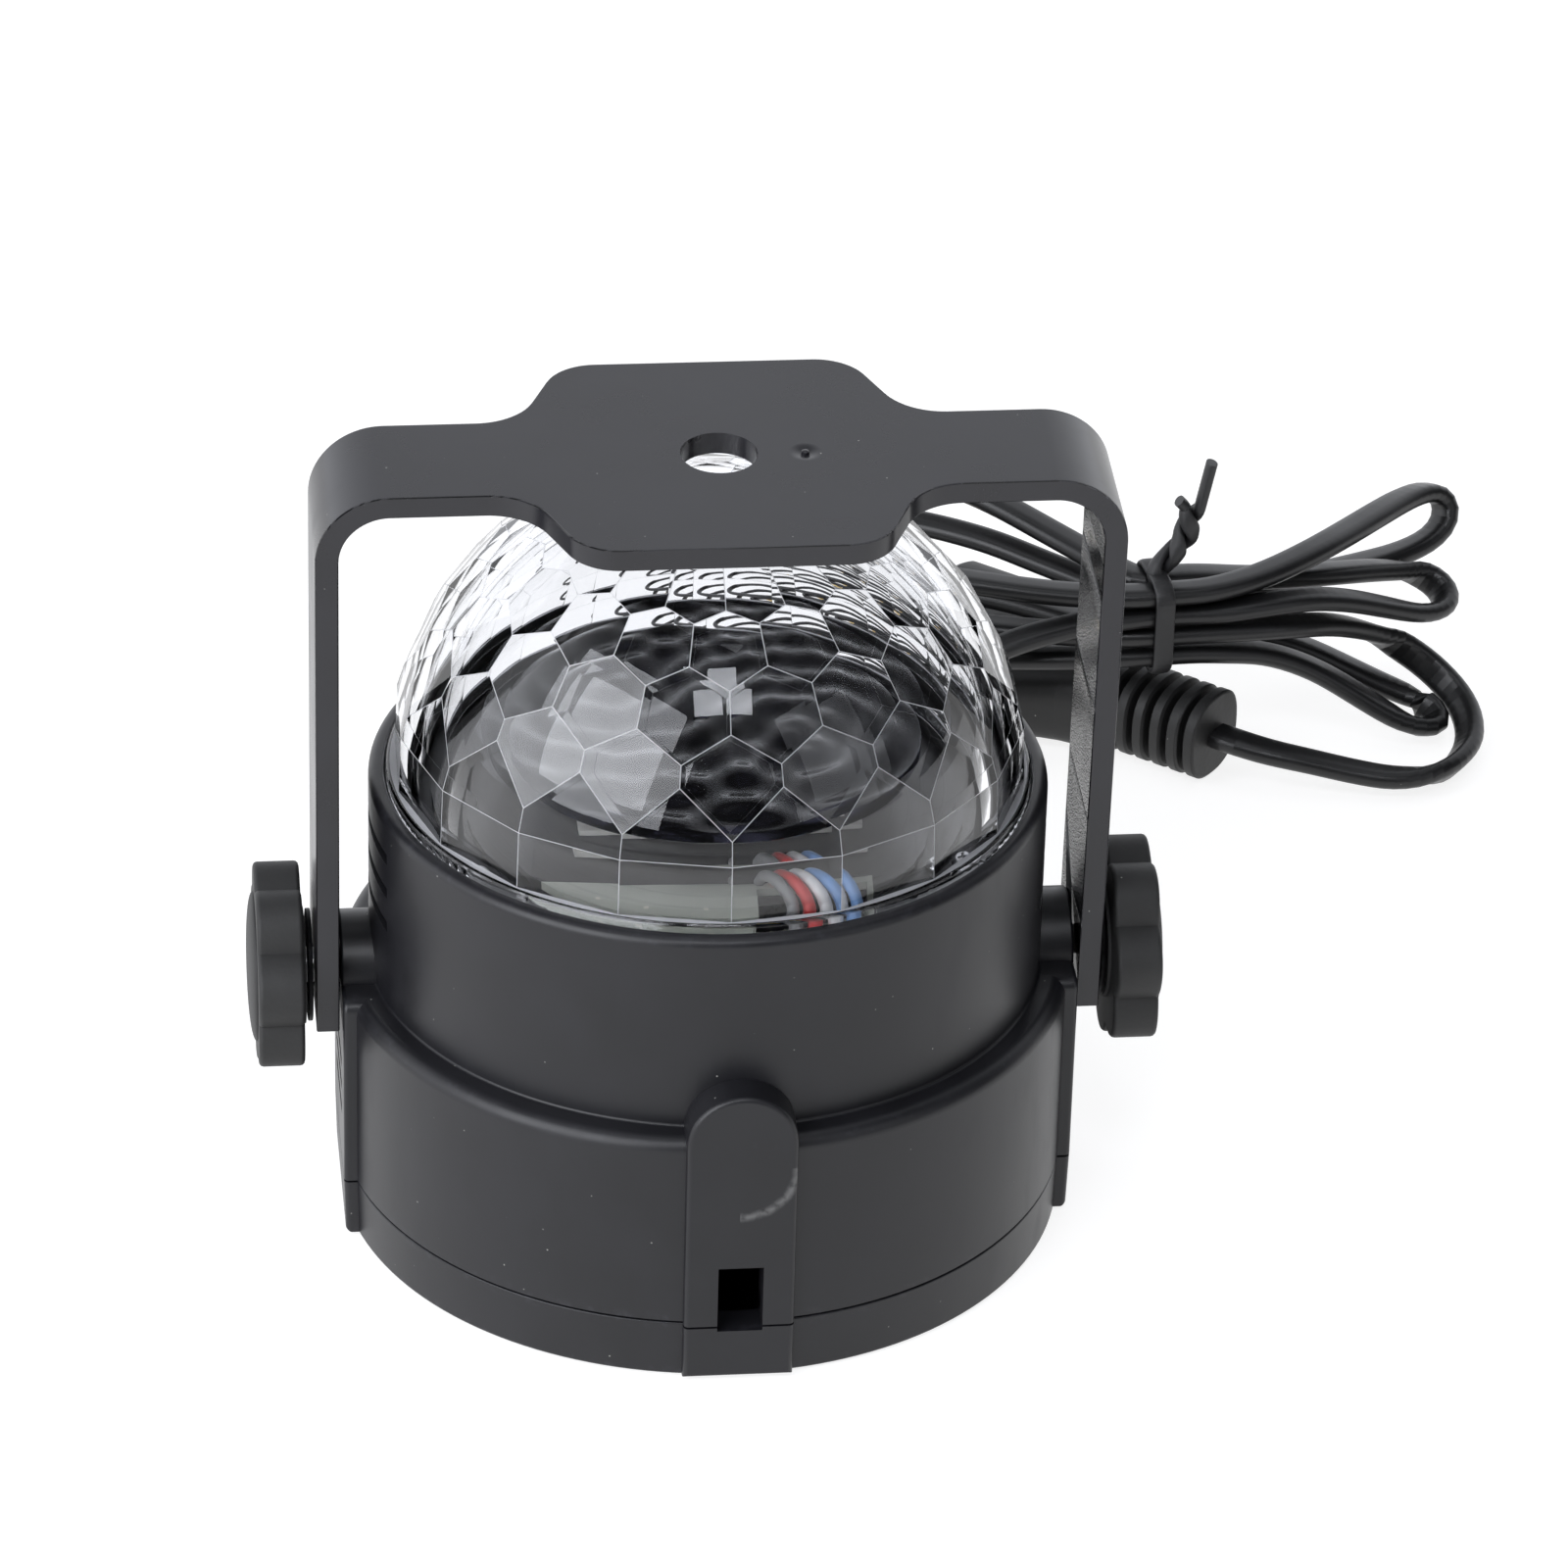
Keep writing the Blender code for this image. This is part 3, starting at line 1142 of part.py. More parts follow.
def plate_shoulder():
    """How the strip widens to the plate: a hollow round, then a full one, and a straight between."""
    hollow_middle = (-PLATE_END_X, ARM_HALF_DEPTH + SHOULDER_HOLLOW)
    hollow = arc(hollow_middle, SHOULDER_HOLLOW, -QUARTER, SHOULDER_TURN - QUARTER, SHOULDER_STEPS)
    round_middle = (-PLATE_FULL_X, PLATE_HALF_DEPTH - SHOULDER_ROUND)
    full = arc(round_middle, SHOULDER_ROUND, QUARTER + SHOULDER_TURN, QUARTER, SHOULDER_STEPS)
    return hollow + full


def bracket():
    """The bent strip: legs, rounded corners and a wide top plate with its hanging hole."""
    outer_x = BRACKET_HALF_WIDTH - BRACKET_BEND
    corner_z = BRACKET_RISE - BRACKET_BEND
    stations = [((-BRACKET_HALF_WIDTH, -LEG_DROP), math.pi, ARM_HALF_DEPTH)]
    for i in range(BEND_STEPS + 1):
        angle = math.pi - QUARTER * i / BEND_STEPS
        point = arc((-outer_x, corner_z), BRACKET_BEND, angle, angle, 1)[0]
        stations.append((point, angle, ARM_HALF_DEPTH))
    stations += [((x, BRACKET_RISE), QUARTER, depth) for x, depth in plate_shoulder()]
    stations += [((-x, z), math.pi - angle, depth) for (x, z), angle, depth in reversed(stations)]
    rings = []
    for (x, z), angle, depth in stations:
        inward = Vector((math.cos(angle), 0, math.sin(angle))) * -BRACKET_THICKNESS
        outside = Vector((x, 0, z))
        across = Vector((0, depth, 0))
        inside = outside + inward
        rings.append([outside - across, outside + across, inside + across, inside - across])
    obj = add_object("bracket", loft(rings), "bracket_plastic")
    edge = obj.modifiers.new("edges", "BEVEL")
    edge.width = BRACKET_EDGE
    edge.segments = 1
    edge.limit_method = "ANGLE"
    plate_low, plate_high = BRACKET_RISE - 2 * BRACKET_THICKNESS, BRACKET_RISE + OVERRUN
    holes = [disc(HANGING_HOLE_RADIUS, plate_low, plate_high, BOSS_SIDES)]
    inner = BRACKET_HALF_WIDTH - BRACKET_THICKNESS - OVERRUN
    for side in (-1, 1):
        hole = disc(STUD_RADIUS + STUD_CLEARANCE, inner, BRACKET_HALF_WIDTH + OVERRUN)
        holes.append(turned(hole, side * QUARTER, "Y"))
    for item in holes:
        moved(turned(item, BRACKET_TILT, "X"), (0, 0, PIVOT_Z))
    pivot = add_empty("bracket_pivot", (0, 0, PIVOT_Z))
    pivot.rotation_euler = (BRACKET_TILT, 0, 0)
    obj.parent = pivot
    add_boolean(obj, "DIFFERENCE", holes)


def knob_outline(inset, side):
    """The lobed outline of a knob with creases between its lobes, drawn in by an inset."""
    turn = QUARTER if side < 0 else 0
    points = []
    for azimuth in around(KNOB_POINTS):
        swell = 2 * abs(math.cos(KNOB_LOBES * azimuth / 2 + turn)) - 1
        radius = KNOB_RADIUS + KNOB_LOBE_DEPTH * swell
        points.append(on_circle(radius - inset, azimuth))
    return points


def knobs():
    """On each side a lobed knob on its stud, with a washer, and the brass insert it screws into."""
    levels = (
        (0, KNOB_EDGE),
        (KNOB_EDGE, 0),
        (KNOB_THICKNESS - KNOB_DOME - KNOB_EDGE, 0),
        (KNOB_THICKNESS - KNOB_DOME, KNOB_EDGE),
        (KNOB_THICKNESS, KNOB_RADIUS / 2),
    )
    for side, name in ((-1, "left"), (1, "right")):
        rings = []
        for height, inset in levels:
            lift = Vector((0, 0, KNOB_X + height))
            rings.append([point + lift for point in knob_outline(inset, side)])
        knob = add_object(f"{name}_knob", sideways(loft(rings), side), "knob_plastic")
        hub = disc(HUB_FACE_RADIUS, HUB_FACE_X, KNOB_X + SINK, BOSS_SIDES)
        add_boolean(knob, "UNION", [sideways(hub, side)])
        bore = disc(STUD_RADIUS + GAP, HUB_FACE_X - OVERRUN, STUD_END_X + GAP)
        add_boolean(knob, "DIFFERENCE", [sideways(bore, side)])
        first = STUD_END_X - STUD_LENGTH
        stud = lathe([
            (0, first),
            (STUD_RADIUS - SINK, first),
            (STUD_RADIUS, first + SINK),
            (STUD_RADIUS, STUD_END_X),
            (0, STUD_END_X),
        ], SMALL_SIDES)
        stud = add_object(f"{name}_stud", sideways(stud, side), "steel")
        washer_end = WASHER_X + WASHER_THICKNESS
        washer = ring(STUD_RADIUS + GAP, WASHER_RADIUS, WASHER_X, washer_end, BOSS_SIDES)
        washer = add_object(f"{name}_washer", sideways(washer, side), "steel")
        axis = add_empty(f"{name}_knob_axis", (side * KNOB_X, 0, PIVOT_Z))
        for item in (knob, stud, washer):
            item.parent = axis
            item.matrix_parent_inverse = Matrix.Translation(-axis.location)
        outer = BOSS_FACE_X - GAP
        insert = ring(STUD_RADIUS + GAP, INSERT_RADIUS, outer - INSERT_LENGTH, outer)
        add_object(f"{name}_insert", sideways(insert, side), "brass")


# Cord


def cord_gland():
    """The rubber bush in the back wall, with a tapered tail round the cord."""
    wall_inside = BAND_RADIUS - CASING_WALL
    neck = GLAND_HOLE_RADIUS - GAP
    collar = PAD_FACE + GAP
    seat = wall_inside - 2 * GAP - GAP / 2
    profile = [
        (0, GLAND_INNER_Y),
        (GLAND_COLLAR_RADIUS, GLAND_INNER_Y),
        (GLAND_COLLAR_RADIUS, seat),
        (neck, seat),
        (neck, collar),
        (GLAND_COLLAR_RADIUS, collar),
        (GLAND_COLLAR_RADIUS, collar + GLAND_COLLAR),
        (GLAND_TAIL_ROOT, collar + GLAND_COLLAR),
        (GLAND_TAIL_TIP, GLAND_END_Y),
        (0, GLAND_END_Y),
    ]
    gland = moved(turned(lathe(profile, SMALL_SIDES), -QUARTER, "X"), (0, 0, GLAND_Z))
    add_object("cord_gland", gland, "rubber")


def plug_frame():
    """The plug's own axes in the world: along it towards the pins, across it and up."""
    along = Vector((math.cos(PLUG_HEADING), math.sin(PLUG_HEADING), 0))
    up = Vector((0, 0, 1))
    across = up.cross(along)
    origin = Vector((*PLUG_CORD_END, PLUG_Z))
    return Matrix((
        (along.x, across.x, up.x, origin.x),
        (along.y, across.y, up.y, origin.y),
        (along.z, across.z, up.z, origin.z),
        (0, 0, 0, 1),
    ))


def plug_section(station, half_width, half_height, corner):
    """A ring of points across the plug: a rectangle with round corners, or a circle."""
    points = []
    per_corner = PLUG_SIDES // 4
    for quarter in range(4):
        middle = QUARTER * quarter + QUARTER / 2
        sign_y = 1 if math.cos(middle) > 0 else -1
        sign_z = 1 if math.sin(middle) > 0 else -1
        centre = (sign_y * (half_width - corner), sign_z * (half_height - corner))
        for i in range(per_corner):
            angle = QUARTER * (quarter + i / (per_corner - 1))
            y, z = arc(centre, corner, angle, angle, 1)[0]
            points.append(Vector((station, y, z)))
    return points


def plug():
    """The moulded plug, from the ribbed relief to the pin face, and its two round pins."""
    rings = []
    almost = RELIEF_GROOVE_RADIUS * 0.98
    for i in range(RELIEF_RIBS):
        start = i * RELIEF_PITCH
        rib_end = start + RELIEF_PITCH - RELIEF_GROOVE_WIDTH
        soft = RELIEF_GROOVE_WIDTH / 3
        for station, radius in (
            (start, RELIEF_RIB_RADIUS),
            (rib_end, RELIEF_RIB_RADIUS),
            (rib_end + soft / 2, RELIEF_GROOVE_RADIUS),
            (start + RELIEF_PITCH - soft / 2, RELIEF_GROOVE_RADIUS),
        ):
            corner = radius * almost / RELIEF_GROOVE_RADIUS
            rings.append(plug_section(station, radius, radius, corner))
    body_end = RELIEF_LENGTH + PLUG_TAPER + PLUG_STRAIGHT
    throat = PLUG_THROAT_HALF_WIDTH
    for station, half_width, inset in (
        (RELIEF_LENGTH, throat - PLUG_EDGE / 3, PLUG_EDGE / 3),
        (RELIEF_LENGTH + PLUG_EDGE / 3, throat, 0),
        (RELIEF_LENGTH + PLUG_TAPER, PLUG_HALF_WIDTH, 0),
        (body_end - PLUG_EDGE / 3, PLUG_HALF_WIDTH, 0),
        (body_end, PLUG_HALF_WIDTH - PLUG_EDGE / 3, PLUG_EDGE / 3),
    ):
        rings.append(plug_section(station, half_width, PLUG_HALF_HEIGHT - inset, PLUG_EDGE))
    place = plug_frame()
    body = loft(rings)
    bmesh.ops.transform(body, matrix=place, verts=body.verts)
    plug_body = add_object("plug_body", body, "cord_vinyl")
    sockets = []
    for side, name in ((-1, "near"), (1, "far")):
        seat = body_end - PIN_SEAT
        pin = lathe([
            (0, seat + GAP),
            (PIN_RADIUS, seat + GAP),
            (PIN_RADIUS, body_end + PIN_LENGTH - PIN_RADIUS),
            (PIN_RADIUS * 0.7, body_end + PIN_LENGTH - PIN_RADIUS * 0.3),
            (0, body_end + PIN_LENGTH),
        ], SMALL_SIDES)
        socket = disc(PIN_RADIUS + GAP, seat, body_end + OVERRUN, SMALL_SIDES)
        for shape in (pin, socket):
            moved(turned(shape, QUARTER, "Y"), (0, side * PIN_SPACING / 2, 0))
            bmesh.ops.transform(shape, matrix=place, verts=shape.verts)
        add_object(f"plug_pin_{name}", pin, "brass")
        sockets.append(socket)
    add_boolean(plug_body, "DIFFERENCE", sockets)


def hank_base(x):
    """The height that the lowest strand runs at: level over the plug, then falling to the left."""
    share = (x - LEFT_FALL[0]) / (LEFT_FALL[1] - LEFT_FALL[0])
    return mixed(WAIST_Z, LOW_Z, eased(share))


def slot_points(side, layer, way):
    """The two ends of a strand's short straight run through the waist, heading left or right."""
    along = on_circle(1, WAIST_TURN)
    across = on_circle(1, WAIST_TURN + QUARTER)
    middle = Vector((*WAIST, WAIST_Z + layer * LAYER_PITCH)) + across * side * SLOT_SPACING / 2
    return [middle - along * way * WAIST_HALF_LENGTH, middle + along * way * WAIST_HALF_LENGTH]


def left_loop(heading, reach, half_width, first_layer, last_layer):
    """Points of a loop that leaves the waist at the front and comes home to its back."""
    along = on_circle(1, heading)
    across = Vector((-along.y, along.x, 0))
    points = slot_points(FRONT, first_layer, LEFTWARD)
    home = slot_points(BACK, last_layer, RIGHTWARD)
    start, end = points[-1], home[0]
    change_start, change_end = LAYER_CHANGE_SHARES
    for share in LEFT_SHARES:
        swell = (1 - math.cos(math.tau * share)) / 2
        spread = math.sin(math.tau * share) * math.sin(math.pi * share)
        point = start.lerp(end, eased(share)) + along * reach * swell + across * half_width * spread
        change = eased((share - change_start) / (change_end - change_start))
        point.z = hank_base(point.x) + mixed(first_layer, last_layer, change) * LAYER_PITCH
        points.append(point)
    return points + home


def routed(points):
    return [Vector(point) for point in points]


def with_straight_ends(points, first_way, last_way):
    """The route with a guide point one diameter in from each end, so that both leave square."""
    first = points[0] + first_way * 2 * CORD_RADIUS
    last = points[-1] - last_way * 2 * CORD_RADIUS
    return [points[0], first] + points[1:-1] + [last, points[-1]]


def hank_points():
    """The whole run of the hank: from the plug, through every loop, to its end by the lamp."""
    away = -on_circle(1, PLUG_HEADING)
    points = [Vector((*PLUG_CORD_END, PLUG_Z)) + away * GAP] + routed(PLUG_LEAD)
    for left, right in zip(LEFT_LOOPS, (LOW_LOOP, TOP_LOOP, MIDDLE_LOOP)):
        points += left_loop(*left) + routed(right)
    points += slot_points(FRONT, TAIL_LAYER, LEFTWARD) + routed(HANK_TAIL) + [Vector(HANK_END)]
    return smooth_route(with_straight_ends(points, away, Vector((-1, 0, 0))), CORD_STEP)


def least_gap(points, radius):
    """The least clear space between strands of one tube that aren't neighbours along it."""
    best = math.inf
    spans = []
    along = 0.0
    for first, last in zip(points, points[1:]):
        spans.append((first, last, along))
        along += (last - first).length
    for i, (a, b, reached) in enumerate(spans):
        for c, d, further in spans[i + 1 :]:
            if further - reached > (b - a).length + NEIGHBOUR_LENGTH:
                best = min(best, segment_distance(a, b, c, d))
    return best - 2 * radius


def segment_distance(a, b, c, d):
    """The least distance between two straight segments."""
    u, v, w = b - a, d - c, a - c
    uu, uv, vv, uw, vw = u.dot(u), u.dot(v), v.dot(v), u.dot(w), v.dot(w)
    det = uu * vv - uv * uv
    s = min(max((uv * vw - vv * uw) / det, 0.0), 1.0) if det else 0.0
    t = min(max((uv * s + vw) / vv, 0.0), 1.0)
    s = min(max((uv * t - uw) / uu, 0.0), 1.0)
    return (w + u * s - v * t).length


def cord():
    """The tied hank behind the lamp, and the free stretch from the gland to it."""
    hank = hank_points()
    add_tube("cord_hank", hank, CORD_RADIUS, "cord_vinyl", 1)
    gap = least_gap(hank, CORD_RADIUS)
    print(f"hank {line_length(hank):.3f} m")
    print(f"least gap of the hank to itself {gap:.5f} m, wanted {LEAST_GAP:.5f} m")
    start = Vector((0, GLAND_END_Y + GAP, GLAND_Z))
    end = Vector(HANK_END) - Vector((GAP, 0, 0))
    route = [start] + routed(LAMP_LEAD) + [end]
    route = with_straight_ends(route, Vector((0, 1, 0)), Vector((1, 0, 0)))
    stretch = smooth_route(route, STRETCH_STEP)
    add_tube("cord_stretch", stretch, CORD_RADIUS, "cord_vinyl", 1)
    print(f"stretch {line_length(stretch):.3f} m")


def cord_tie():
    """The twist tie: once round the waist, and its two ends twisted into an upright tail."""
    half_width = SLOT_SPACING / 2 + CORD_RADIUS + 2 * GAP + TIE_RADIUS
    low = WAIST_Z - CORD_RADIUS - 2 * GAP - TIE_RADIUS
    high = WAIST_Z + TOP_LAYER * LAYER_PITCH + CORD_RADIUS + 2 * GAP + TIE_RADIUS
    centre = Vector((*WAIST, 0))
    across = on_circle(1, WAIST_TURN + QUARTER)
    along = on_circle(1, WAIST_TURN)
    twist = TIE_RADIUS + 2 * GAP
    corners = []
    bend = TIE_BEND
    outline = [(twist, high + bend / 2)]
    outline += arc((half_width - bend, high - bend), bend, QUARTER, 0, 3)
    outline += arc((half_width - bend, low + bend), bend, 0, -QUARTER, 3)
    outline += arc((bend - half_width, low + bend), bend, -QUARTER, -math.pi, 3)
    outline += arc((bend - half_width, high - bend), bend, math.pi, QUARTER, 3)
    outline += [(-twist, high + bend / 2)]
    for y, z in outline:
        corners.append(centre + across * y + Vector((0, 0, z)))
    tails = []
    foot = high + bend / 2 + 2 * TIE_RADIUS
    for phase in (0, math.pi):
        tail = []
        for i in range(TIE_TAIL_STEPS + 1):
            share = i / TIE_TAIL_STEPS
            angle = phase + math.tau * TIE_TWISTS * share
            spiral = across * math.cos(angle) * twist + along * math.sin(angle) * twist
            lean = along * TIE_TAIL_LEAN * share
            tail.append(centre + spiral + lean + Vector((0, 0, foot + TIE_TAIL_HEIGHT * share)))
        tails.append(tail)
    add_tube("cord_tie", tails[0][::-1] + corners + tails[1], TIE_RADIUS, "cord_vinyl", 1)


def main():
    clear_scene()
    upper_casing()
    base_cover()
    rubber_feet()
    screws()
    faceted_dome()
    lamp_carrier()
    light_board()
    gear_motor()
    wave_rotor()
    control_board()
    inner_wires()
    bracket()
    knobs()
    cord_gland()
    plug()
    cord()
    cord_tie()


main()
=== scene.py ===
"""Dress, light and camera of the water wave projector lamp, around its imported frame."""

import logging
import math
from dataclasses import dataclass
from enum import Enum
from typing import Any, Iterable, Sequence

import bmesh
import bpy
import numpy as np
from mathutils import Matrix, Vector


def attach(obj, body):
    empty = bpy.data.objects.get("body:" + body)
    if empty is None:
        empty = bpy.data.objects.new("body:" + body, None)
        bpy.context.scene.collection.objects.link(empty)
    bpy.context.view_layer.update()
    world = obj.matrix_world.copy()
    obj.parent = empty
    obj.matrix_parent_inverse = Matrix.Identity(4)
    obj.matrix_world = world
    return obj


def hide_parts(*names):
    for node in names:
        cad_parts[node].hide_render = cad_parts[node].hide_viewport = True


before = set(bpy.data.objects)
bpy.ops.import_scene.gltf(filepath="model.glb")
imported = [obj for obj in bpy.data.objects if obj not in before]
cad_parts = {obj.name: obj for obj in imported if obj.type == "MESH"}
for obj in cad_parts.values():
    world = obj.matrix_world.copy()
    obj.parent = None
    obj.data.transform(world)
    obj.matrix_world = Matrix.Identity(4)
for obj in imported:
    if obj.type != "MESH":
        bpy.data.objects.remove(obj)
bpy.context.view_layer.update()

LOG = logging.getLogger("lamp")
MM = 0.001
UP = Vector((0, 0, 1))
QUARTER = math.pi / 2
SHARP = math.radians(35)
WELD = 0.000002
PIVOT = 0.0349
GLAND_HEIGHT = 0.0135
PORT_LEFT, PORT_RIGHT = -0.0024, 0.0034
BASE_SCREW_CIRCLE = 0.0404
CARRIER_SCREW_CIRCLE = 0.0353
DUST = (0.30, 0.30, 0.28)
Colour = tuple[float, float, float]
Point = tuple[float, float]


class Side(Enum):
    """The two sides of the lamp that the bracket turns on."""

    LEFT = -1
    RIGHT = 1

    @property
    def word(self) -> str:
        """The side's name in the names of its pieces."""
        return self.name.lower()


class End(Enum):
    """The lamp's front and back."""

    FRONT = -1
    BACK = 1


# Shader expressions


class Signal:
    """A shader socket that takes part in Python expressions."""

    def __init__(self, graph: "Graph", socket: bpy.types.NodeSocket) -> None:
        """Wraps a socket of a graph.

        Args:
            graph: The graph that new nodes go into.
            socket: The output socket.
        """
        self.graph = graph
        self.socket = socket

    def maths(self, operation: str, *others: Any, swapped: bool = False) -> "Signal":
        """A Math node on this signal and others.

        Args:
            operation: The Math node's operation.
            others: Further signals or numbers.
            swapped: Whether this signal comes after the others.

        Returns:
            The node's result.
        """
        values = (*others, self) if swapped else (self, *others)
        settings = {"operation": operation}
        return self.graph.node("ShaderNodeMath", settings, dict(enumerate(values)))

    def __add__(self, other: Any) -> "Signal":
        """The sum."""
        return self.maths("ADD", other)

    __radd__ = __add__

    def __sub__(self, other: Any) -> "Signal":
        """The difference."""
        return self.maths("SUBTRACT", other)

    def __rsub__(self, other: Any) -> "Signal":
        """The difference from a number."""
        return self.maths("SUBTRACT", other, swapped=True)

    def __mul__(self, other: Any) -> "Signal":
        """The product."""
        return self.maths("MULTIPLY", other)

    __rmul__ = __mul__

    def __truediv__(self, other: Any) -> "Signal":
        """The quotient."""
        return self.maths("DIVIDE", other)

    def __abs__(self) -> "Signal":
        """The size without its sign."""
        return self.maths("ABSOLUTE")

    def __gt__(self, other: Any) -> "Signal":
        """One where this signal is greater, else zero."""
        return self.maths("GREATER_THAN", other)

    def __lt__(self, other: Any) -> "Signal":
        """One where this signal is less, else zero."""
        return self.maths("LESS_THAN", other)

    def smooth(self, low: float, high: float) -> "Signal":
        """A smooth step from zero at low to one at high.

        Args:
            low: Where the step starts.
            high: Where it ends.

        Returns:
            The step.
        """
        inputs = {"Value": self, "From Min": low, "From Max": high}
        return self.graph.node("ShaderNodeMapRange", {"interpolation_type": "SMOOTHSTEP"}, inputs)


class Graph:
    """The node tree of a material or the world, made from values and signals."""

    def __init__(self, owner: bpy.types.Material | bpy.types.World, shader: str) -> None:
        """Starts on the owner's tree.

        Args:
            owner: The new material or world.
            shader: The name of the shader that its tree starts with.
        """
        owner.use_nodes = True
        self.owner = owner
        self.tree = owner.node_tree
        self.shader = self.tree.nodes[shader]

    @classmethod
    def of_material(cls, name: str) -> "Graph":
        """A new material's graph."""
        return cls(bpy.data.materials.new(name), "Principled BSDF")

    def node(
        self, kind: str, settings: dict | None = None, inputs: dict | None = None, output: Any = 0
    ) -> Signal:
        """Adds any node.

        Args:
            kind: The node's type.
            settings: Its settings.
            inputs: Values or signals by socket name, identifier or number.
            output: The socket wanted, by name, identifier or number.

        Returns:
            The output as a signal.
        """
        node = self.tree.nodes.new(kind)
        for key, value in (settings or {}).items():
            setattr(node, key, value)
        for key, value in (inputs or {}).items():
            self.feed(self.find(node.inputs, key), value)
        return Signal(self, self.find(node.outputs, output))

    def find(self, sockets: Any, key: Any) -> bpy.types.NodeSocket:
        """The socket with that number, identifier or name."""
        if isinstance(key, int):
            return sockets[key]
        return next(s for s in sockets if key in (s.identifier, s.name))

    def feed(self, socket: bpy.types.NodeSocket, value: Any) -> None:
        """Links a signal to a socket, or sets its value."""
        if isinstance(value, Signal):
            self.tree.links.new(value.socket, socket)
        elif hasattr(socket.default_value, "__len__") and len(socket.default_value) == 4:
            socket.default_value = (*value[:3], 1)
        else:
            socket.default_value = value

    def shade(self, **values: Any) -> None:
        """Sets the shader's sockets; an underscore in a name stands for a space."""
        for name, value in values.items():
            self.feed(self.find(self.shader.inputs, name.replace("_", " ")), value)

    def place(self, scale: Sequence[float] = (1, 1, 1)) -> Signal:
        """Object coordinates, stretched by a scale."""
        raw = self.node("ShaderNodeTexCoord", output="Object")
        if tuple(scale) == (1, 1, 1):
            return raw
        return self.node("ShaderNodeMapping", None, {"Vector": raw, "Scale": scale})

    def axis(self, name: str) -> Signal:
        """One of the object coordinates X, Y and Z."""
        return self.node("ShaderNodeSeparateXYZ", None, {0: self.place()}, name)

    def noise(self, size: float, detail: float = 3, stretch: Sequence[float] = (1, 1, 1)) -> Signal:
        """Soft noise around one half.

        Args:
            size: The size of its patches in metres.
            detail: How many finer layers it has.
            stretch: The scale along each axis.

        Returns:
            The noise, from zero to one.
        """
        inputs = {"Vector": self.place(stretch), "Scale": 1 / size, "Detail": detail}
        return self.node("ShaderNodeTexNoise", None, inputs)

    def specks(self, spacing: float, radius: float) -> Signal:
        """Sparse round specks of different strength.

        Args:
            spacing: The size of the cell that holds one speck.
            radius: The speck's radius.

        Returns:
            The specks' strength, zero between them.
        """
        inputs = {"Vector": self.place(), "Scale": 1 / spacing}
        near = self.node("ShaderNodeTexVoronoi", None, inputs)
        pick = self.node("ShaderNodeTexVoronoi", None, inputs, "Color")
        strength = self.node("ShaderNodeSeparateColor", None, {0: pick})
        share = radius / spacing
        return (1 - near.smooth(share / 2, share)) * strength.smooth(0.45, 1.0)

    def tint(self, share: Any, first: Any, second: Any) -> Signal:
        """A mix of two colours by a share from zero to one."""
        inputs = {"Factor_Float": share, "A_Color": first, "B_Color": second}
        return self.node("ShaderNodeMix", {"data_type": "RGBA"}, inputs, "Result_Color")

    def reach(self) -> Signal:
        """How far the point is from the lamp's upright axis."""
        x, y = self.axis("X"), self.axis("Y")
        return (x * x + y * y).maths("SQRT")

    def bumped(self, height: Signal, depth: float) -> Signal:
        """The surface's direction with a relief of some depth."""
        return self.node("ShaderNodeBump", None, {"Height": height, "Distance": depth})


def scaled(colour: Colour, share: float) -> Colour:
    """A colour made lighter or darker."""
    return tuple(min(channel * share, 1.0) for channel in colour)


# Finishes


@dataclass(frozen=True)
class Finish:
    """What every finish has: its name, colour, roughness and slot in the record."""

    name: str
    slot: str
    colour: Colour
    roughness: float

    def material(self) -> bpy.types.Material:
        """The finish's material, made on first use."""
        known = bpy.data.materials.get(self.name)
        if known is not None:
            return known
        graph = Graph.of_material(self.name)
        self.dress(graph)
        return graph.owner

    def dress(self, graph: Graph) -> None:
        """Sets up the shader."""
        raise NotImplementedError


@dataclass(frozen=True)
class Moulded(Finish):
    """Moulded plastic or rubber: fine grain, faint clouds, smears and dust."""

    grain: float = 0.00030
    depth: float = 0.000005
    clouds: float = 0.14
    dust: float = 1.0
    shine: float = 0.5

    def dress(self, graph: Graph) -> None:
        """Mixes the plain colour with clouds and dust, and grains the surface."""
        cloud = graph.noise(0.012, 4)
        smear = graph.noise(0.0045, 5, (1, 1, 0.35)).smooth(0.45, 0.75)
        fine = graph.noise(self.grain, 2)
        specks = graph.specks(0.0026, 0.00014) * self.dust
        low, high = scaled(self.colour, 1 - self.clouds), scaled(self.colour, 1 + self.clouds)
        colour = graph.tint(cloud.smooth(0.3, 0.7), low, high)
        colour = graph.tint(smear * 0.25, colour, scaled(self.colour, 1.5))
        colour = graph.tint(specks, colour, DUST)
        colour = self.marked(graph, colour)
        rough = self.roughness + (cloud - 0.5) * 0.10 + smear * 0.05 + specks * 0.2
        graph.shade(Base_Color=colour, Roughness=self.polished(graph, rough))
        graph.shade(Specular_IOR_Level=self.shine)
        graph.shade(Normal=graph.bumped(self.relief(graph, fine + smear * 0.3), self.depth))

    def relief(self, graph: Graph, height: Signal) -> Signal:
        """The height of the grain, the same all over on plain mouldings."""
        return height

    def marked(self, graph: Graph, colour: Signal) -> Signal:
        """The colour with the finish's own marks; none on plain mouldings."""
        return colour

    def polished(self, graph: Graph, rough: Signal) -> Signal:
        """The roughness with the finish's own glossy places; none on plain mouldings."""
        return rough


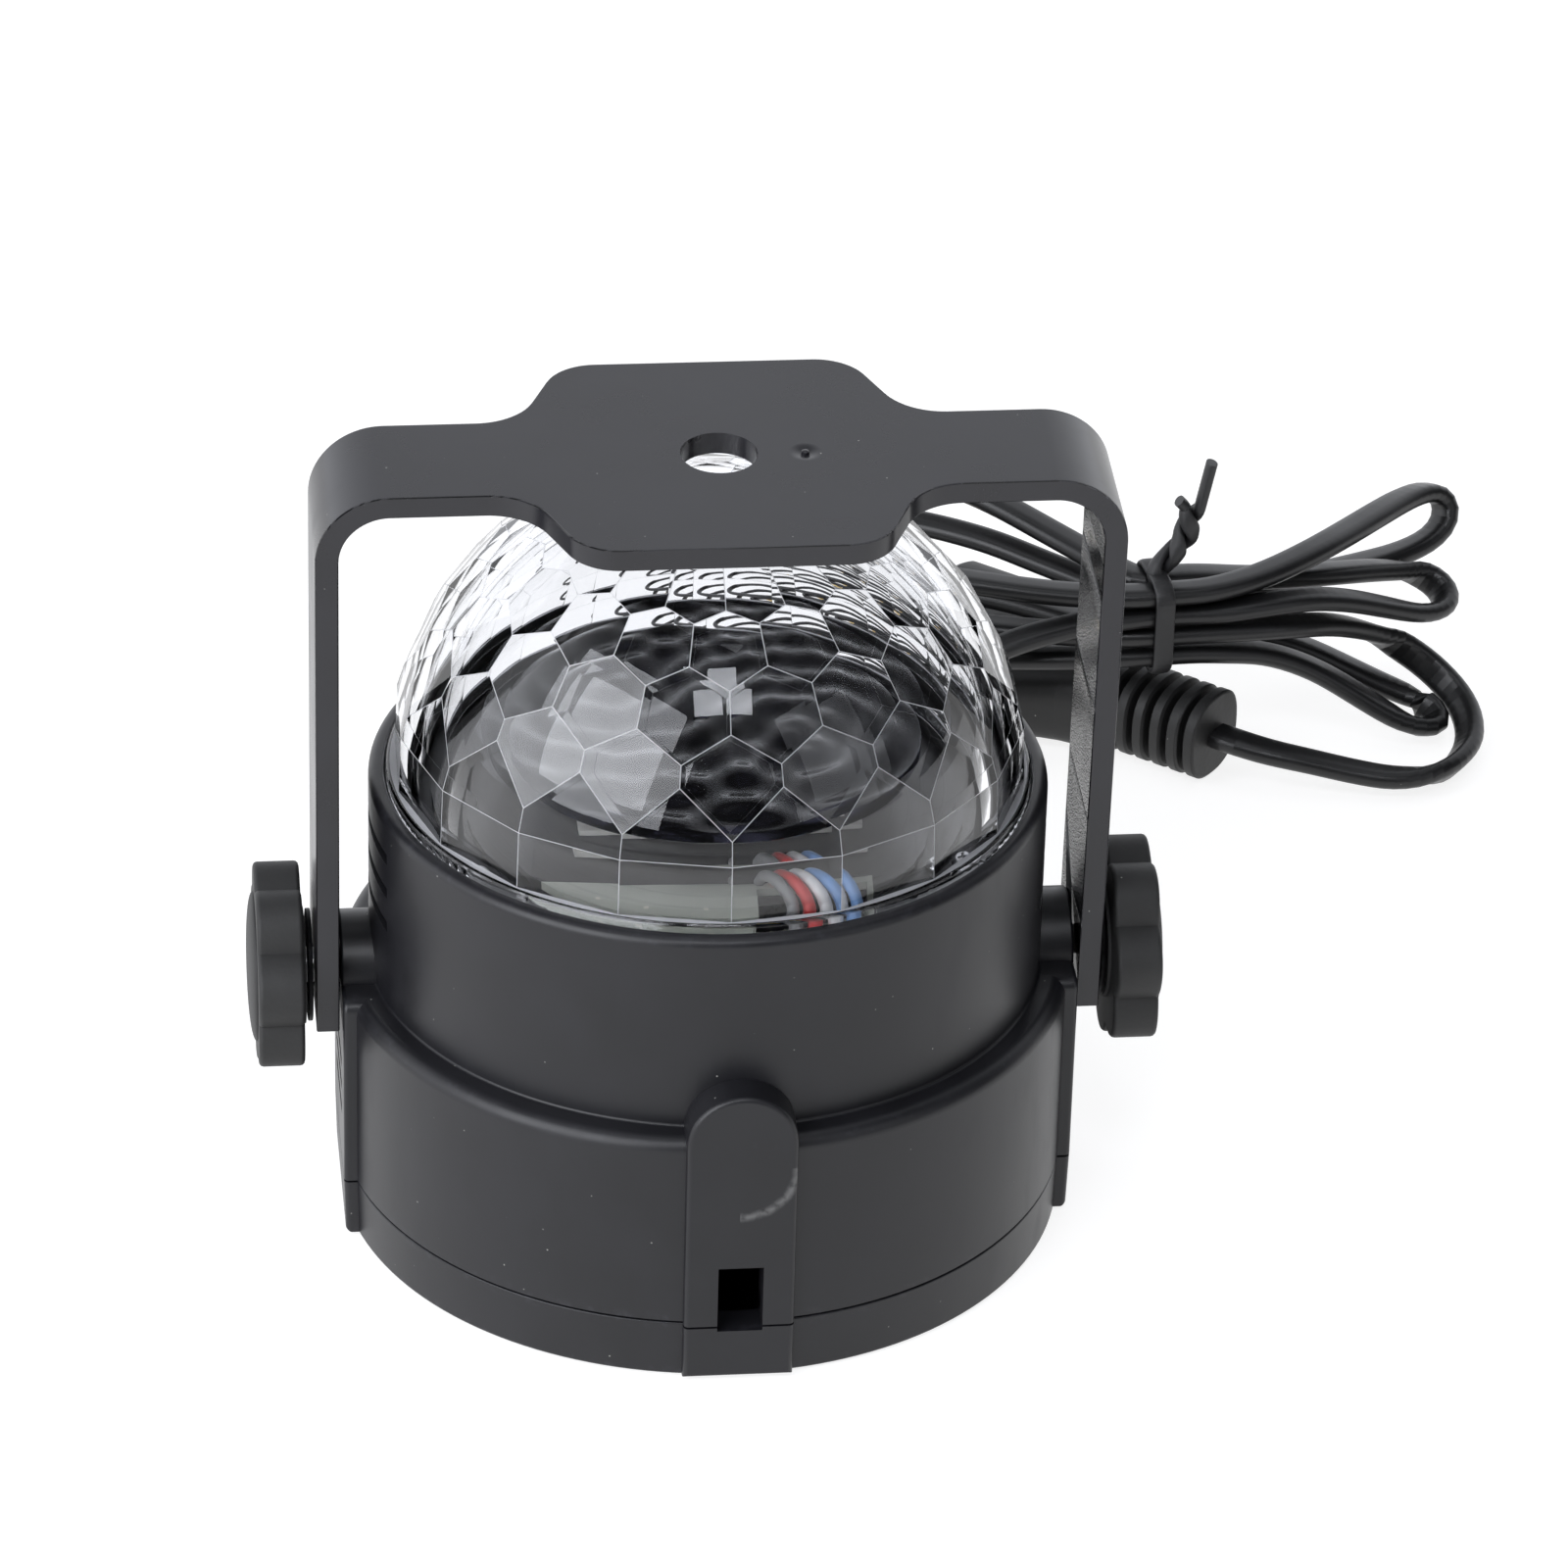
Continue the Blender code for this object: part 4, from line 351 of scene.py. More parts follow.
@dataclass(frozen=True)
class CasingPlastic(Moulded):
    """The casing's satin plastic, with a scuff on the front pad and lighter round edges, partly rubbed
    wear and partly a painted highlight.
    """

    scuff_centre: Point = (0.0002, 0.0324)
    scuff_radius: float = 0.0072
    scuff_front: float = -0.0485
    rims: Sequence[Point] = ((0.0479, 0.0359), (0.0441, 0.0634), (0.0479, 0.0085), (0.0476, 0.0004))

    def marked(self, graph: Graph, colour: Signal) -> Signal:
        """Adds the scuff, an arc on the pad's face, and lighter patches along the round edges: partly
        rubbed wear, partly a painted highlight where the rounds catch the light.
        """
        across = graph.axis("X") - self.scuff_centre[0]
        height = graph.axis("Z")
        along = height - self.scuff_centre[1]
        away = (across * across + along * along).maths("SQRT") - self.scuff_radius
        line = 1 - (abs(away) + graph.noise(0.0009, 2) * 0.0004).smooth(0.00010, 0.00110)
        part = (across > 0) * (along < 0) * (graph.axis("Y") < self.scuff_front)
        broken = graph.noise(0.0012, 3).smooth(0.25, 0.6)
        colour = graph.tint(line * part * broken * 0.7, colour, (0.14, 0.14, 0.14))
        # lighter patches along the ledge, rim, seam and foot rounds: partly rubbed wear, partly a
        # painted highlight
        patches = graph.noise(0.0014, 4).smooth(0.52, 0.72)
        out = graph.reach()
        for radius, level in self.rims:
            side, rise = out - radius, height - level
            near = 1 - (side * side + rise * rise).maths("SQRT").smooth(0.0004, 0.0016)
            colour = graph.tint(near * patches * 0.35, colour, scaled(self.colour, 4))
        return colour


@dataclass(frozen=True)
class BracketPlastic(Moulded):
    """The bracket's plastic, glossy on the insides of both legs."""

    inside: float = 0.0486
    gloss: float = 0.13

    def inner(self, graph: Graph) -> Signal:
        """One on what faces the lamp from both sides, else zero."""
        near = 1 - abs(graph.axis("X")).smooth(self.inside - 0.0001, self.inside + 0.0001)
        return near * (graph.axis("Z") < 0.098)

    def relief(self, graph: Graph, height: Signal) -> Signal:
        """Leaves the glossy insides almost without grain."""
        return height * (1 - self.inner(graph) * 0.9)

    def polished(self, graph: Graph, rough: Signal) -> Signal:
        """Lowers the roughness on what faces the lamp."""
        return rough - self.inner(graph) * (self.roughness - self.gloss)


@dataclass(frozen=True)
class ClearPlastic(Finish):
    """Thick clear plastic with faint flow lines."""

    waves: float = 0.000004
    density: float = 1.49
    through: float = 1.0

    def dress(self, graph: Graph) -> None:
        """Makes the shader let light through, with slightly wavy faces."""
        flow = graph.noise(0.0040, 1, (1, 1, 2.5))
        haze = graph.noise(0.008, 3)
        graph.shade(Base_Color=self.colour, Transmission_Weight=self.through, IOR=self.density)
        graph.shade(Roughness=haze.smooth(0.3, 0.9) * 0.02 + self.roughness)
        graph.shade(Normal=graph.bumped(flow, self.waves))


@dataclass(frozen=True)
class Metal(Finish):
    """Plated or turned metal with fine lines round it."""

    tarnish: Colour = (0.30, 0.29, 0.27)

    def dress(self, graph: Graph) -> None:
        """Mixes bright metal with tarnish and scores it finely."""
        cloud = graph.noise(0.0015, 4)
        lines = graph.noise(0.0002, 3, (8, 1, 1))
        colour = graph.tint(cloud.smooth(0.45, 0.8), self.colour, self.tarnish)
        graph.shade(Base_Color=colour, Metallic=1.0)
        graph.shade(Roughness=cloud * 0.25 + (self.roughness - 0.1))
        graph.shade(Normal=graph.bumped(lines, 0.000004))


@dataclass(frozen=True)
class Board(Finish):
    """A printed board: solder mask over tracks that run both ways."""

    track: Colour = (0.10, 0.27, 0.13)
    pitch: float = 0.0011

    def dress(self, graph: Graph) -> None:
        """Draws tracks along X in some cells and along Y in the others, with pads."""
        x, y = graph.axis("X"), graph.axis("Y")
        cells = {"Vector": graph.place(), "Scale": 160.0}
        pick = graph.node("ShaderNodeTexVoronoi", {"distance": "CHEBYCHEV"}, cells, "Color")
        choice = graph.node("ShaderNodeSeparateColor", None, {0: pick})
        ways = [(axis / self.pitch).maths("PINGPONG", 1.0).smooth(0.55, 0.62) for axis in (x, y)]
        tracks = ways[0] * (choice > 0.5) + ways[1] * (choice < 0.5)
        pads = 1 - graph.node("ShaderNodeTexVoronoi", None, {**cells, "Scale": 420.0}).smooth(0.16, 0.2)
        colour = graph.tint(tracks * 0.8, self.colour, self.track)
        colour = graph.tint(pads, colour, (0.62, 0.60, 0.55))
        graph.shade(Base_Color=colour, Roughness=self.roughness - pads * 0.1, Metallic=pads * 0.8)
        graph.shade(Normal=graph.bumped(tracks + pads, 0.00003))


@dataclass(frozen=True)
class LampBoard(Finish):
    """The light board: pale at its front rim, and painted black elsewhere as the shade inside the dome.
    """

    painted_shade: Colour = (0.006, 0.006, 0.008)
    painted_shade_radius: float = 0.0200
    painted_shade_front: float = -0.0205
    painted_shade_right: float = 0.0180

    def dress(self, graph: Graph) -> None:
        """Paints black shade over the board but its front rim, and lays a few tracks on the pale part.
        """
        # black painted shade: the dark inside of the dome, everywhere but the front rim
        edge = graph.noise(0.0004, 2) * 0.0001 + self.painted_shade_radius
        shade_share = (edge - graph.reach()).smooth(0.0, 0.0001)
        shade_share = shade_share.maths("MAXIMUM", graph.axis("Y") > self.painted_shade_front)
        shade_share = shade_share.maths("MAXIMUM", graph.axis("X") > self.painted_shade_right)
        cells = {"Vector": graph.place(), "Scale": 300.0}
        dots = 1 - graph.node("ShaderNodeTexVoronoi", None, cells).smooth(0.10, 0.14)
        rings = (graph.reach() / 0.0019).maths("PINGPONG", 1.0).smooth(0.80, 0.86)
        colour = graph.tint(graph.noise(0.006, 4), scaled(self.colour, 0.9), scaled(self.colour, 1.1))
        colour = graph.tint(rings * 0.35, colour, scaled(self.colour, 0.7))
        colour = graph.tint(dots, colour, (0.60, 0.58, 0.50))
        colour = graph.tint(shade_share, colour, self.painted_shade)
        graph.shade(Base_Color=colour, Roughness=self.roughness - dots * 0.12)
        graph.shade(Normal=graph.bumped(rings + dots, 0.00002))


CASING = CasingPlastic("charcoal_casing", "casing_plastic", (0.0080, 0.0080, 0.0100), 0.38, shine=0.42)
BRACKET = BracketPlastic(
    "dark_grey_bracket", "bracket_plastic", (0.0118, 0.0116, 0.0145), 0.28, depth=0.000002,
)
KNOB = Moulded(
    "dusty_black_knob", "knob_plastic", (0.0125, 0.0125, 0.0125), 0.62,
    grain=0.0006, depth=0.00003, clouds=0.35,
)
CARRIER = Moulded("inner_black", "carrier_plastic", (0.005, 0.005, 0.006), 0.45, dust=0.2)
RUBBER = Moulded("soft_rubber", "rubber", (0.010, 0.010, 0.010), 0.72, depth=0.00002)
VINYL = Moulded(
    "cord_vinyl_black", "cord_vinyl", (0.0065, 0.0065, 0.0070), 0.36,
    grain=0.0012, depth=0.000012, clouds=0.2, dust=0.5,
)
PLUG_VINYL = Moulded(
    "plug_vinyl_black", "cord_vinyl", (0.0085, 0.0085, 0.0085), 0.52, grain=0.0010, depth=0.00003,
)
TIE = Moulded("tie_plastic", "cord_vinyl", (0.016, 0.016, 0.017), 0.5, depth=0.00002)
NYLON = Moulded("white_nylon_parts", "white_nylon", (0.70, 0.69, 0.64), 0.45, dust=0.3)
CHIP = Moulded("chip_epoxy", "chip_black", (0.012, 0.012, 0.014), 0.38, dust=0.2)
TAPE = Moulded("winding_tape", "yellow_tape", (0.62, 0.42, 0.05), 0.35, dust=0.2)
GREY_WIRE = Moulded("grey_insulation", "wire_grey", (0.22, 0.22, 0.22), 0.4, dust=0.1)
RED_WIRE = Moulded("red_insulation", "wire_red", (0.60, 0.02, 0.02), 0.4, dust=0.1)
WHITE_WIRE = Moulded("white_insulation", "wire_white", (0.75, 0.75, 0.75), 0.4, dust=0.1)
BLUE_WIRE = Moulded("blue_insulation", "wire_blue", (0.18, 0.36, 0.70), 0.4, dust=0.1)
BROWN_WIRE = Moulded("brown_insulation", "wire_brown", (0.14, 0.06, 0.03), 0.4, dust=0.1)
CLEAR = ClearPlastic("clear_dome_plastic", "clear_plastic", (0.98, 0.985, 1.0), 0.0)
RUBBED_EDGE = ClearPlastic("rubbed_facet_edge", "clear_plastic", (0.95, 0.96, 1.0), 0.42, through=0.72)
# the wave lens's near-black tint is painted shade for the dark inside of the dome
WAVE = ClearPlastic("smoky_wave_plastic", "clear_plastic", (0.02, 0.02, 0.03), 0.12, density=1.22)
STEEL = Metal("zinc_steel", "steel", (0.60, 0.60, 0.61), 0.34)
BLACK_STEEL = Metal("blackened_steel", "steel", (0.016, 0.016, 0.017), 0.50, (0.010, 0.010, 0.010))
BRASS = Metal("turned_brass", "brass", (0.78, 0.58, 0.26), 0.30, (0.50, 0.35, 0.16))
GREEN_BOARD = Board("green_solder_mask", "green_board", (0.02, 0.09, 0.035), 0.38)
LAMP_BOARD = LampBoard("pale_lamp_board", "white_board", (0.42, 0.44, 0.38), 0.42)


# Shapes


def rounded_path(corners: Iterable[tuple[float, float, float]], steps: int = 5) -> list[Point]:
    """A flat path whose corners are rounded off.

    Args:
        corners: Each corner's place and its radius, zero for a sharp one.
        steps: How many spans each round corner gets.

    Returns:
        The path's points.
    """
    table = [(Vector(corner[:2]), corner[2]) for corner in corners]
    points = []
    for i, (corner, radius) in enumerate(table):
        if not radius or i in (0, len(table) - 1):
            points.append(tuple(corner))
            continue
        back = (table[i - 1][0] - corner).normalized()
        ahead = (table[i + 1][0] - corner).normalized()
        half = back.angle(ahead) / 2
        middle = corner + (back + ahead).normalized() * (radius / math.sin(half))
        first = corner + back * (radius / math.tan(half)) - middle
        turn = first.angle_signed(corner + ahead * (radius / math.tan(half)) - middle)
        for k in range(steps + 1):
            angle = -turn * k / steps
            spoke = Matrix.Rotation(angle, 2) @ first
            points.append(tuple(middle + spoke))
    return points


class Shape:
    """A mesh in the making, and the operators that shape it."""

    def __init__(self) -> None:
        """Starts an empty mesh."""
        self.bm = bmesh.new()

    @classmethod
    def spun(cls, profile: Sequence[Point], steps: int = 96) -> "Shape":
        """A profile of radii and heights, turned about Z.

        Args:
            profile: Its points; one that is off the axis at both ends is closed.
            steps: How many spans go round.

        Returns:
            The turned shape.
        """
        shape = cls()
        verts = [shape.bm.verts.new((radius, 0, height)) for radius, height in profile]
        edges = [shape.bm.edges.new(pair) for pair in zip(verts, verts[1:])]
        if profile[0][0] and profile[-1][0]:
            edges.append(shape.bm.edges.new((verts[-1], verts[0])))
        bmesh.ops.spin(
            shape.bm, geom=verts + edges, cent=(0, 0, 0), axis=UP, angle=math.tau,
            steps=steps, use_merge=True,
        )
        return shape.cleaned()

    @classmethod
    def plate(cls, outline: Sequence[Point], low: float, high: float) -> "Shape":
        """An outline in X and Y, extruded from one height to another.

        Args:
            outline: The outline's points.
            low: The height of its lower face.
            high: The height of its upper face.

        Returns:
            The plate.
        """
        shape = cls()
        face = shape.bm.faces.new([shape.bm.verts.new((x, y, low)) for x, y in outline])
        raised = bmesh.ops.extrude_face_region(shape.bm, geom=[face])["geom"]
        tops = [item for item in raised if isinstance(item, bmesh.types.BMVert)]
        bmesh.ops.translate(shape.bm, vec=(0, 0, high - low), verts=tops)
        return shape.cleaned()

    @classmethod
    def box(cls, low: Sequence[float], high: Sequence[float]) -> "Shape":
        """A box between two corners."""
        shape = cls()
        size = Vector(high) - Vector(low)
        middle = Matrix.Translation((Vector(high) + Vector(low)) / 2)
        bmesh.ops.create_cube(shape.bm, size=1, matrix=middle @ Matrix.Diagonal((*size, 1)))
        return shape

    @classmethod
    def disc(cls, radius: float, low: float, high: float, steps: int = 48) -> "Shape":
        """A round bar between two heights."""
        return cls.spun([(0, low), (radius, low), (radius, high), (0, high)], steps)

    @classmethod
    def swept(cls, section: Sequence[Point], frames: Sequence[Matrix]) -> "Shape":
        """A section carried along a row of frames by extruding its end face.

        Args:
            section: The section's points in each frame's X and Y.
            frames: Where the section stands, one frame after the other.

        Returns:
            The closed sweep.
        """
        shape = cls()
        verts = [shape.bm.verts.new(frames[0] @ Vector((x, y, 0))) for x, y in section]
        end = shape.bm.faces.new(verts)
        for before, after in zip(frames, frames[1:]):
            end = shape.drawn_out(end, before is frames[0])
            bmesh.ops.transform(shape.bm, matrix=after @ before.inverted(), verts=end.verts[:])
        return shape.cleaned()

    def drawn_out(self, end: bmesh.types.BMFace, keep: bool) -> bmesh.types.BMFace:
        """Extrudes the end face, keeping the old one or not, and hands back the new one."""
        raised = bmesh.ops.extrude_face_region(self.bm, geom=[end], use_keep_orig=keep)
        return next(item for item in raised["geom"] if isinstance(item, bmesh.types.BMFace))

    def cleaned(self) -> "Shape":
        """Merges double points and turns every face outwards."""
        bmesh.ops.remove_doubles(self.bm, verts=self.bm.verts, dist=WELD)
        bmesh.ops.recalc_face_normals(self.bm, faces=self.bm.faces)
        return self

    def moved(self, offset: Sequence[float]) -> "Shape":
        """Moves the whole shape."""
        bmesh.ops.translate(self.bm, vec=offset, verts=self.bm.verts)
        return self

    def turned(self, angle: float, axis: str) -> "Shape":
        """Turns the whole shape about one of the world's axes."""
        matrix = Matrix.Rotation(angle, 3, axis)
        bmesh.ops.rotate(self.bm, cent=(0, 0, 0), matrix=matrix, verts=self.bm.verts)
        return self

    def sideways(self, side: Side, height: float = PIVOT) -> "Shape":
        """Lays a shape turned about Z along the pivot on one side of the lamp."""
        return self.turned(side.value * QUARTER, "Y").moved((0, 0, height))

    def placed(self, matrix: Matrix) -> "Shape":
        """Carries the whole shape by a matrix."""
        bmesh.ops.transform(self.bm, matrix=matrix, verts=self.bm.verts)
        return self

    def bevelled(self, width: float, segments: int = 3, least: float = 50) -> "Shape":
        """Rounds every edge that turns by more than some degrees.

        Args:
            width: The round's width.
            segments: How many faces go across it.
            least: The least turn in degrees of an edge that is rounded.

        Returns:
            The shape itself.
        """
        limit = math.radians(least)
        edges = [edge for edge in self.bm.edges if edge.calc_face_angle(0) > limit]
        return self.rounded(edges, width, segments)

    def rounded(self, edges: Sequence[bmesh.types.BMEdge], width: float, segments: int) -> "Shape":
        """Rounds these edges of the shape."""
        bmesh.ops.bevel(
            self.bm, geom=edges, offset=width, offset_type="OFFSET", segments=segments,
            profile=0.5, affect="EDGES", material=-1, clamp_overlap=True,
        )
        return self

    def joined(self, others: Iterable["Shape"]) -> "Shape":
        """Takes in the faces of other shapes, which may lie across this one."""
        for other in others:
            mesh = bpy.data.meshes.new("part")
            other.bm.to_mesh(mesh)
            other.bm.free()
            self.bm.from_mesh(mesh)
            bpy.data.meshes.remove(mesh)
        return self

    def combined(self, joins: Sequence["Shape"], cuts: Sequence["Shape"]) -> "Shape":
        """Joins shapes to this one and cuts others from it, with exact Booleans.

        Args:
            joins: The shapes to add.
            cuts: The shapes to take away.

        Returns:
            The result.
        """
        base = self.as_object("base")
        tools = []
        for operation, shapes in (("UNION", joins), ("DIFFERENCE", cuts)):
            if not shapes:
                continue
            tool = Shape().joined(shapes).as_object("tool")
            modifier = base.modifiers.new("boolean", "BOOLEAN")
            modifier.solver = "EXACT"
            modifier.use_self = True
            modifier.operation = operation
            modifier.object = tool
            tools.append(tool)
        solved = base.evaluated_get(bpy.context.evaluated_depsgraph_get())
        result = Shape()
        result.bm.from_mesh(solved.data)
        for item in [base] + tools:
            mesh = item.data
            bpy.data.objects.remove(item, do_unlink=True)
            bpy.data.meshes.remove(mesh)
        return result

    def as_object(self, name: str) -> bpy.types.Object:
        """Ends the making and puts the mesh into the scene."""
        mesh = bpy.data.meshes.new(name)
        self.bm.to_mesh(mesh)
        self.bm.free()
        obj = bpy.data.objects.new(name, mesh)
        bpy.context.scene.collection.objects.link(obj)
        return obj

    def finished(
        self, name: str, finish: Finish, body: str, replaces: Sequence[str] = (), smooth: bool = True
    ) -> bpy.types.Object:
        """Ends the making as a dressed piece that rides on a body.

        Args:
            name: The piece's name.
            finish: Its finish.
            body: The body that it rides on.
            replaces: The CAD nodes that it stands for.
            smooth: Whether it is shaded smooth between its sharp edges.

        Returns:
            The piece.
        """
        obj = self.as_object(name)
        if smooth:
            obj.data.shade_smooth()
            obj.data.set_sharp_from_angle(angle=SHARP)
            even = obj.modifiers.new("even_normals", "WEIGHTED_NORMAL")
            even.keep_sharp = True
        obj.data.materials.append(finish.material())
        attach(obj, body)
        if replaces:
            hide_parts(*replaces)
        LOG.info("%s: %d faces on %s", name, len(obj.data.polygons), body)
        return obj


def splined(points: Sequence[Sequence[float]], step: float) -> list[Vector]:
    """A smooth curve through points.

    Args:
        points: What it passes through, in two or three dimensions.
        step: About how far apart its own points are.

    Returns:
        The curve's points.
    """
    knots = [Vector(point) for point in points]
    padded = [2 * knots[0] - knots[1]] + knots + [2 * knots[-1] - knots[-2]]
    fine = [knots[0]]
    for a, b, c, d in zip(padded, padded[1:], padded[2:], padded[3:]):
        count = max(1, round((c - b).length / step))
        for k in range(1, count + 1):
            s = k / count
            bend = (2 * a - 5 * b + 4 * c - d) * s * s + (3 * b - a - 3 * c + d) * s * s * s
            fine.append(0.5 * (2 * b + (c - a) * s + bend))
    return fine


def upright_frames(points: Sequence[Vector], wide: Vector | Sequence[Vector]) -> list[Matrix]:
    """Frames along a curve.

    Args:
        points: The curve.
        wide: The way that each frame's X points, near enough. A single one is for the
            first frame, and the others turn from it as little as they can.

    Returns:
        One frame for each point.
    """
    single = isinstance(wide, Vector)
    across = wide if single else wide[0]
    frames = []
    last = len(points) - 1
    for i, point in enumerate(points):
        way = (points[min(i + 1, last)] - points[max(i - 1, 0)]).normalized()
        across = across if single else wide[i]
        across = (across - way * across.dot(way)).normalized()
        frames.append(placed_frame(point, across, way.cross(across), way))
    return frames


def placed_frame(origin: Vector, x: Vector, y: Vector, z: Vector) -> Matrix:
    """The matrix of a frame with these axes at a point."""
    return Matrix.Translation(origin) @ Matrix((x, y, z)).transposed().to_4x4()


def dress_node(name: str, finish: Finish) -> None:
    """Gives a CAD node that stays its finer material."""
    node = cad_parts[name]
    for place in node.material_slots:
        place.material = finish.material()
    LOG.info("%s: dressed in %s", name, finish.name)


def round_azimuths(count: int, start: float = 0.0) -> list[float]:
    """Evenly spaced azimuths in a full turn."""
    return [start + math.tau * i / count for i in range(count)]


def on_circle(radius: float, azimuth: float, height: float = 0.0) -> Vector:
    """The point at an azimuth on a circle about Z."""
    return Vector((radius * math.cos(azimuth), radius * math.sin(azimuth), height))


def base_screw_places(height: float = 0.0) -> list[Vector]:
    """Where the four base screws stand."""
    return [on_circle(BASE_SCREW_CIRCLE, a, height) for a in round_azimuths(4, math.pi / 4)]


def carrier_screw_places(height: float = 0.0) -> list[Vector]:
    """Where the three carrier screws stand."""
    return [on_circle(CARRIER_SCREW_CIRCLE, a, height) for a in round_azimuths(3, QUARTER)]


def eased(share: float) -> float:
    """A share from zero to one that starts and ends level."""
    share = min(max(share, 0.0), 1.0)
    return share * share * (3 - 2 * share)


# Studio


@dataclass
class Studio:
    """The camera at the photograph's angle, a pale floor and soft lights."""

    position: Sequence[float] = (-0.08877, -0.84154, 0.55430)
    forward: Sequence[float] = (0.10062934, 0.85789427, -0.50387614)
    roll: float = math.radians(1.6243)
    lens: float = 173.18
    floor_half: float = 4.0
    tint: Colour = (0.93, 0.95, 1.0)
    softboxes: Sequence[tuple] = (
        ("left_softbox", -140, 27, 1.10, 1.00, 0.95, 5.1),
        ("right_softbox", -44, 24, 1.10, 0.60, 0.72, 0.8),
        ("front_lamp", -90, 54, 1.30, 0.36, 0.34, 9.0),
        ("top_softbox", 60, 84, 1.50, 1.00, 1.00, 1.2),
    )

    def build(self) -> None:
        """Sets up the camera, the floor, the lights and the world."""
        self.camera()
        self.floor()
        for row in self.softboxes:
            self.softbox(*row)
        self.world()
        bpy.context.scene.view_settings.view_transform = "Standard"

    def camera(self) -> None:
        """Points the camera as the photograph was taken."""
        ahead = Vector(self.forward).normalized()
        level = ahead.cross(UP).normalized()
        upright = level.cross(ahead)
        right = level * math.cos(self.roll) + upright * math.sin(self.roll)
        up = upright * math.cos(self.roll) - level * math.sin(self.roll)
        data = bpy.data.cameras.new("camera")
        data.lens = self.lens
        data.sensor_width = 36
        data.clip_start = 0.01
        data.clip_end = 50
        camera = bpy.data.objects.new("camera", data)
        turn = Matrix((right, up, -ahead)).transposed().to_4x4()
        camera.matrix_world = Matrix.Translation(self.position) @ turn
        bpy.context.scene.collection.objects.link(camera)
        bpy.context.scene.camera = camera

    def floor(self) -> None:
        """Lays a large pale floor."""
        shape = Shape()
        bmesh.ops.create_grid(shape.bm, x_segments=1, y_segments=1, size=self.floor_half)
        floor = shape.as_object("floor")
        graph = Graph.of_material("pale_floor")
        cloud = graph.noise(0.3, 2)
        colour = graph.tint(cloud, (0.30, 0.30, 0.30), (0.32, 0.32, 0.32))
        graph.shade(Base_Color=colour, Roughness=0.8, Emission_Color=(1, 1, 1), Emission_Strength=0.82)
        floor.data.materials.append(graph.owner)

    def softbox(
        self, name: str, azimuth: float, rise: float, away: float, wide: float, tall: float, glow: float
    ) -> None:
        """Hangs one soft light that faces the lamp.

        Args:
            name: The light's name.
            azimuth: Its direction from the lamp in degrees.
            rise: Its elevation in degrees.
            away: How far away it is.
            wide: Its width.
            tall: Its height.
            glow: The brightness of its face, where the white floor is about one.
        """
        height = math.radians(rise)
        way = on_circle(math.cos(height), math.radians(azimuth), math.sin(height))
        place = way * away + UP * 0.08
        data = bpy.data.lights.new(name, "AREA")
        data.shape = "RECTANGLE"
        data.size, data.size_y = wide, tall
        data.energy = glow * math.pi * wide * tall
        data.color = self.tint
        lamp = bpy.data.objects.new(name, data)
        lamp.matrix_world = Matrix.Translation(place) @ way.to_track_quat("Z", "Y").to_matrix().to_4x4()
        bpy.context.scene.collection.objects.link(lamp)

    def world(self) -> None:
        """Fills the studio: a white sweep behind the lamp, dim in front and above."""
        world = bpy.data.worlds.new("studio")
        graph = Graph(world, "Background")
        way = graph.node("ShaderNodeTexCoord", output="Generated")
        x, y, z = (graph.node("ShaderNodeSeparateXYZ", None, {0: way}, axis) for axis in "XYZ")
        low = 1 - z.smooth(0.62, 0.95)
        behind = (y - x * 0.3).smooth(-0.15, 0.40)
        beside = (x * -1).smooth(0.55, 0.95) * 0.4
        graph.shade(Color=self.tint, Strength=(behind + beside) * low * (1.55 - z) + 0.04)
        bpy.context.scene.world = world


# Cord and plug


